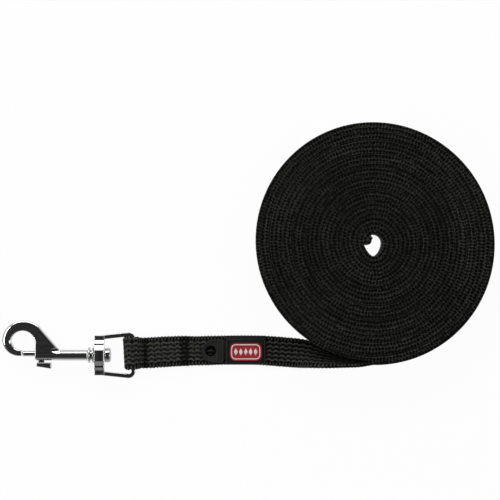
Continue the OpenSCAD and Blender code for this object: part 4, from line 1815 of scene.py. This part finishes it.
@dataclass
class HookBolt:
    """The sliding bolt and the thumb lug that is keyed into it."""

    radius: float = 1.45
    y: float = 0.8
    tip: float = -6.6
    end: float = 8.0
    end_round: float = 0.2
    # The domed tip: how far from its end, and the share of the radius there.
    dome: Sequence[Point] = ((0, 0.35), (0.08, 0.62), (0.25, 0.84), (0.5, 0.96), (0.8, 1))
    pad_low: Point = (0.7, -6.9, -2.4)
    pad_high: Point = (8.4, -3.7, 2.4)
    pad_left: float = -5.7      # the wedge's lower face rises to this at its left end
    pad_round: float = 0.38
    neck_x: Point = (1.4, 5.0)
    neck_half: float = 0.8
    neck_sunk: float = 0.6      # how far the neck reaches into the wedge
    neck_round: float = 0.45

    def build_bolt(self) -> Piece:
        """Models and dresses the bolt, with a domed tip.

        Returns:
            The bolt.
        """
        r, end, edge = self.radius, self.end, self.end_round
        rows = [(self.tip + back, share * r) for back, share in self.dome]
        piece = Bench.lathe("hook_bolt_pin", rows + [(0, r), (end - edge, r), (end, r - edge)], self.y)
        return hang(Bench.set_down(piece), Body.BOLT, "hook_bolt", "plated", NICKEL)

    def build_lug(self) -> Piece:
        """Models and dresses the lug: a block with its lower left edge drawn up, and a neck to the bolt.

        Returns:
            The lug.
        """
        low, high = self.pad_low, self.pad_high
        piece = Bench.block("thumb_lug_wedge", low, high)
        Bench.pick(piece, "VERT", lambda p: p.x < (low[0] + high[0]) / 2 and p.y < (low[1] + high[1]) / 2)
        bpy.ops.transform.translate(value=(0, (self.pad_left - low[1]) * MM, 0))
        Bench.take()
        Bench.round_edges(piece, self.pad_round, segments=4)
        foot = high[1] - self.neck_sunk
        neck = Bench.block("neck", (self.neck_x[0], foot, -self.neck_half),
                           (self.neck_x[1], self.y, self.neck_half))
        Bench.pick(neck, "EDGE", lambda p: abs(p.y - (foot + self.y) / 2) < 0.01)
        bpy.ops.mesh.bevel(offset=self.neck_round * MM, segments=4)
        Bench.take()
        Bench.combine(piece, neck, Join.ADD)
        return hang(Bench.set_down(piece), Body.BOLT, "thumb_lug", "plated", NICKEL)


@dataclass
class BoltSpring:
    """The compression spring behind the bolt, modelled at rest; the real one is squeezed as the bolt is drawn
    back.
    """

    first: float = 8.05
    last: float = 22.95
    y: float = 0.8
    mean_radius: float = 1.05
    wire: float = 0.2
    wire_sides: int = 8
    coils: int = 12
    coil_steps: int = 20
    travel: float = 7.0
    smooth: float = 50.0

    def build(self) -> Piece:
        """Models and dresses the spring: a wire's section screwed along X.

        Returns:
            The spring.
        """
        long = self.last - self.first
        x, y, z = SNAP_ZERO
        piece = Bench.disc("bolt_spring_wire", (0, 0, self.mean_radius), self.wire, (math.pi / 2, 0, 0),
                           self.wire_sides)
        Bench.pick(piece, "FACE", lambda p: True)
        bpy.ops.mesh.delete(type="ONLY_FACE")
        Bench.take()
        pitch = (long - 2 * self.wire) / self.coils
        Bench.work(piece, "SCREW", axis="X", angle=2 * math.pi, screw_offset=pitch * MM,
                   iterations=self.coils, steps=self.coil_steps, render_steps=self.coil_steps)
        Bench.pick(piece, "EDGE", lambda p: True)
        bpy.ops.mesh.fill_holes(sides=0)
        Bench.tidy(piece)
        Bench.set_down(piece, (x + self.first + self.wire, y + self.y, z), self.smooth)
        hang(piece, Body.HOOK, "bolt_spring", "spring_wire", SPRING)
        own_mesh(piece)
        return piece


@dataclass
class Swivel:
    """The riveted stud and the strap frame that turns on it."""

    # X and radius of the stud's rows: plug, flange, shank and the riveted head.
    stud_rows: Sequence[Point] = (
        (23.0, 1.7), (23.3, 1.98), (28.5, 1.98), (28.5, 2.5), (28.7, 2.75), (29.3, 2.75), (29.5, 2.75),
        (29.5, 3.8), (29.58, 4.05), (29.75, 4.2), (29.95, 4.2), (30.12, 4.05), (30.2, 3.8), (30.2, 2.0),
        (36.0, 2.0), (36.0, 3.4), (36.1, 3.65), (36.35, 3.8), (38.1, 3.8), (38.5, 3.68), (38.85, 3.4),
        (39.0, 3.0), (39.0, 1.75), (38.9, 1.45), (38.6, 1.1), (38.4, 0.65), (38.35, 0.2))
    plate_x: Point = (30.5, 35.7)
    # Y and Z of a quarter of the plate's outline, from its end to its middle.
    plate_profile: Sequence[Point] = ((10.336, 1.5), (7.75, 1.75), (6.25, 2.6), (5.25, 2.6), (2.9, 4.2))
    plate_bore: float = 2.05
    bore_x: Point = (29.0, 37.0)
    plate_round: float = 0.4
    plate_smooth: float = 16.5  # lower than the facets' angles, so that they keep crisp edges
    wire_start: Point = (33.1, 9.136)
    wire_radius: float = 1.17
    wire_sides: int = 64
    wire_square: float = 4.5    # the section is a rounded square, so that the wire has a broad flat top
    flare: float = 6.0
    bend: Point = (48.1, 8.3)
    bend_radius: float = 2.4
    bend_steps: int = 14
    smooth: float = 45.0

    def build_stud(self) -> Piece:
        """Models and dresses the stud."""
        piece = Bench.set_down(Bench.lathe("swivel_stud_rivet", self.stud_rows), angle=self.smooth)
        return hang(piece, Body.HOOK, "swivel_stud", "plated", NICKEL)

    def build_wire(self) -> Piece:
        """Models the frame's wire: a disc drawn out, spun round the first bend, drawn along the bar and back.

        Returns:
            The wire.
        """
        tilt, power = math.radians(self.flare), self.wire_square
        x, y = self.wire_start
        bx, by = self.bend
        leave = (bx - self.bend_radius * math.sin(tilt), by + self.bend_radius * math.cos(tilt))
        turn = math.pi / 2 + tilt
        piece = Bench.disc("wire", (x, y, 0), self.wire_radius, (math.pi / 2, 0, turn), self.wire_sides)
        middle = Vector((x, y, 0))
        for vertex in piece.data.vertices:
            spot = vertex.co / MM - middle
            norm = (math.hypot(spot.x, spot.y) ** power + abs(spot.z) ** power) ** (1 / power)
            vertex.co = (middle + spot * (self.wire_radius / norm)) * MM
        Bench.edit(piece)
        for move, centre in (((leave[0] - x, leave[1] - y, 0), (bx, by, 0)), ((0, -2 * by, 0), (bx, -by, 0)),
                             ((x - leave[0], leave[1] - y, 0), None)):
            Bench.extend(move)
            if centre:
                bpy.ops.mesh.spin(steps=self.bend_steps, angle=turn, center=[c * MM for c in centre],
                                  axis=(0, 0, 1))
        Bench.tidy(piece)
        return piece

    def build_frame(self) -> Piece:
        """Models and dresses the frame: a bored, facetted plate and the wire that grows out of its ends.

        Returns:
            The frame.
        """
        half = list(self.plate_profile) + [(-y, z) for y, z in reversed(self.plate_profile)]
        ring = half + [(-y, -z) for y, z in half]
        first, last = self.plate_x
        piece = Bench.disc("swivel_frame_casting", (first, 0, 0), 1.0, (0, math.pi / 2, 0), len(ring))
        for vertex, (y, z) in zip(piece.data.vertices, ring):
            vertex.co.y, vertex.co.z = y * MM, z * MM
        Bench.extrude(piece, [(last - first, 0, 0)])
        bore = Bench.lathe("bore", [(x, self.plate_bore) for x in self.bore_x])
        Bench.combine(piece, bore, Join.CUT)
        Bench.round_edges(piece, self.plate_round, segments=6, angle=50)
        # Plate and wire are shaded apart, each up to its own angle.
        piece = Bench.join([Bench.set_down(piece, angle=self.plate_smooth),
                            Bench.set_down(self.build_wire(), angle=self.smooth)])
        return hang(piece, Body.FRAME, "swivel_frame", "plated", NICKEL)


def main() -> None:
    """Builds the studio and then the leash's pieces, each of which is logged as it is hung."""
    logging.basicConfig(level=logging.INFO, format="%(message)s")
    Studio().build()
    lead = Lead()
    lead_route = lead.route()
    lead_piece = lead.build(lead_route)
    Coil().build(float(lead_route.along[-1]))
    Loop().build()
    badge = Badge()
    sewn_on = [
        StitchRows("front_stitches", (-52.4,), y=-52.5, z=3.43, count=9, pitch=1.5).build(),
        StitchRows("rear_stitches", (-33.0, -31.0), y=-51.3, z=3.43, count=9, pitch=1.5).build(),
        RubberTab().build(),
        badge.build_base(),
        badge.build_inlay(),
        StitchRows("badge_stitches", (-9.55, 8.55), y=-51.9, z=2.45, count=6, pitch=1.9).build(),
    ]
    lead.declare(lead_piece, lead_route, sewn_on)
    HookBody().build()
    bolt = HookBolt()
    bolt.build_bolt()
    bolt.build_lug()
    BoltSpring().build()
    swivel = Swivel()
    swivel.build_stud()
    swivel.build_frame()


if __name__ == "__main__":
    main()
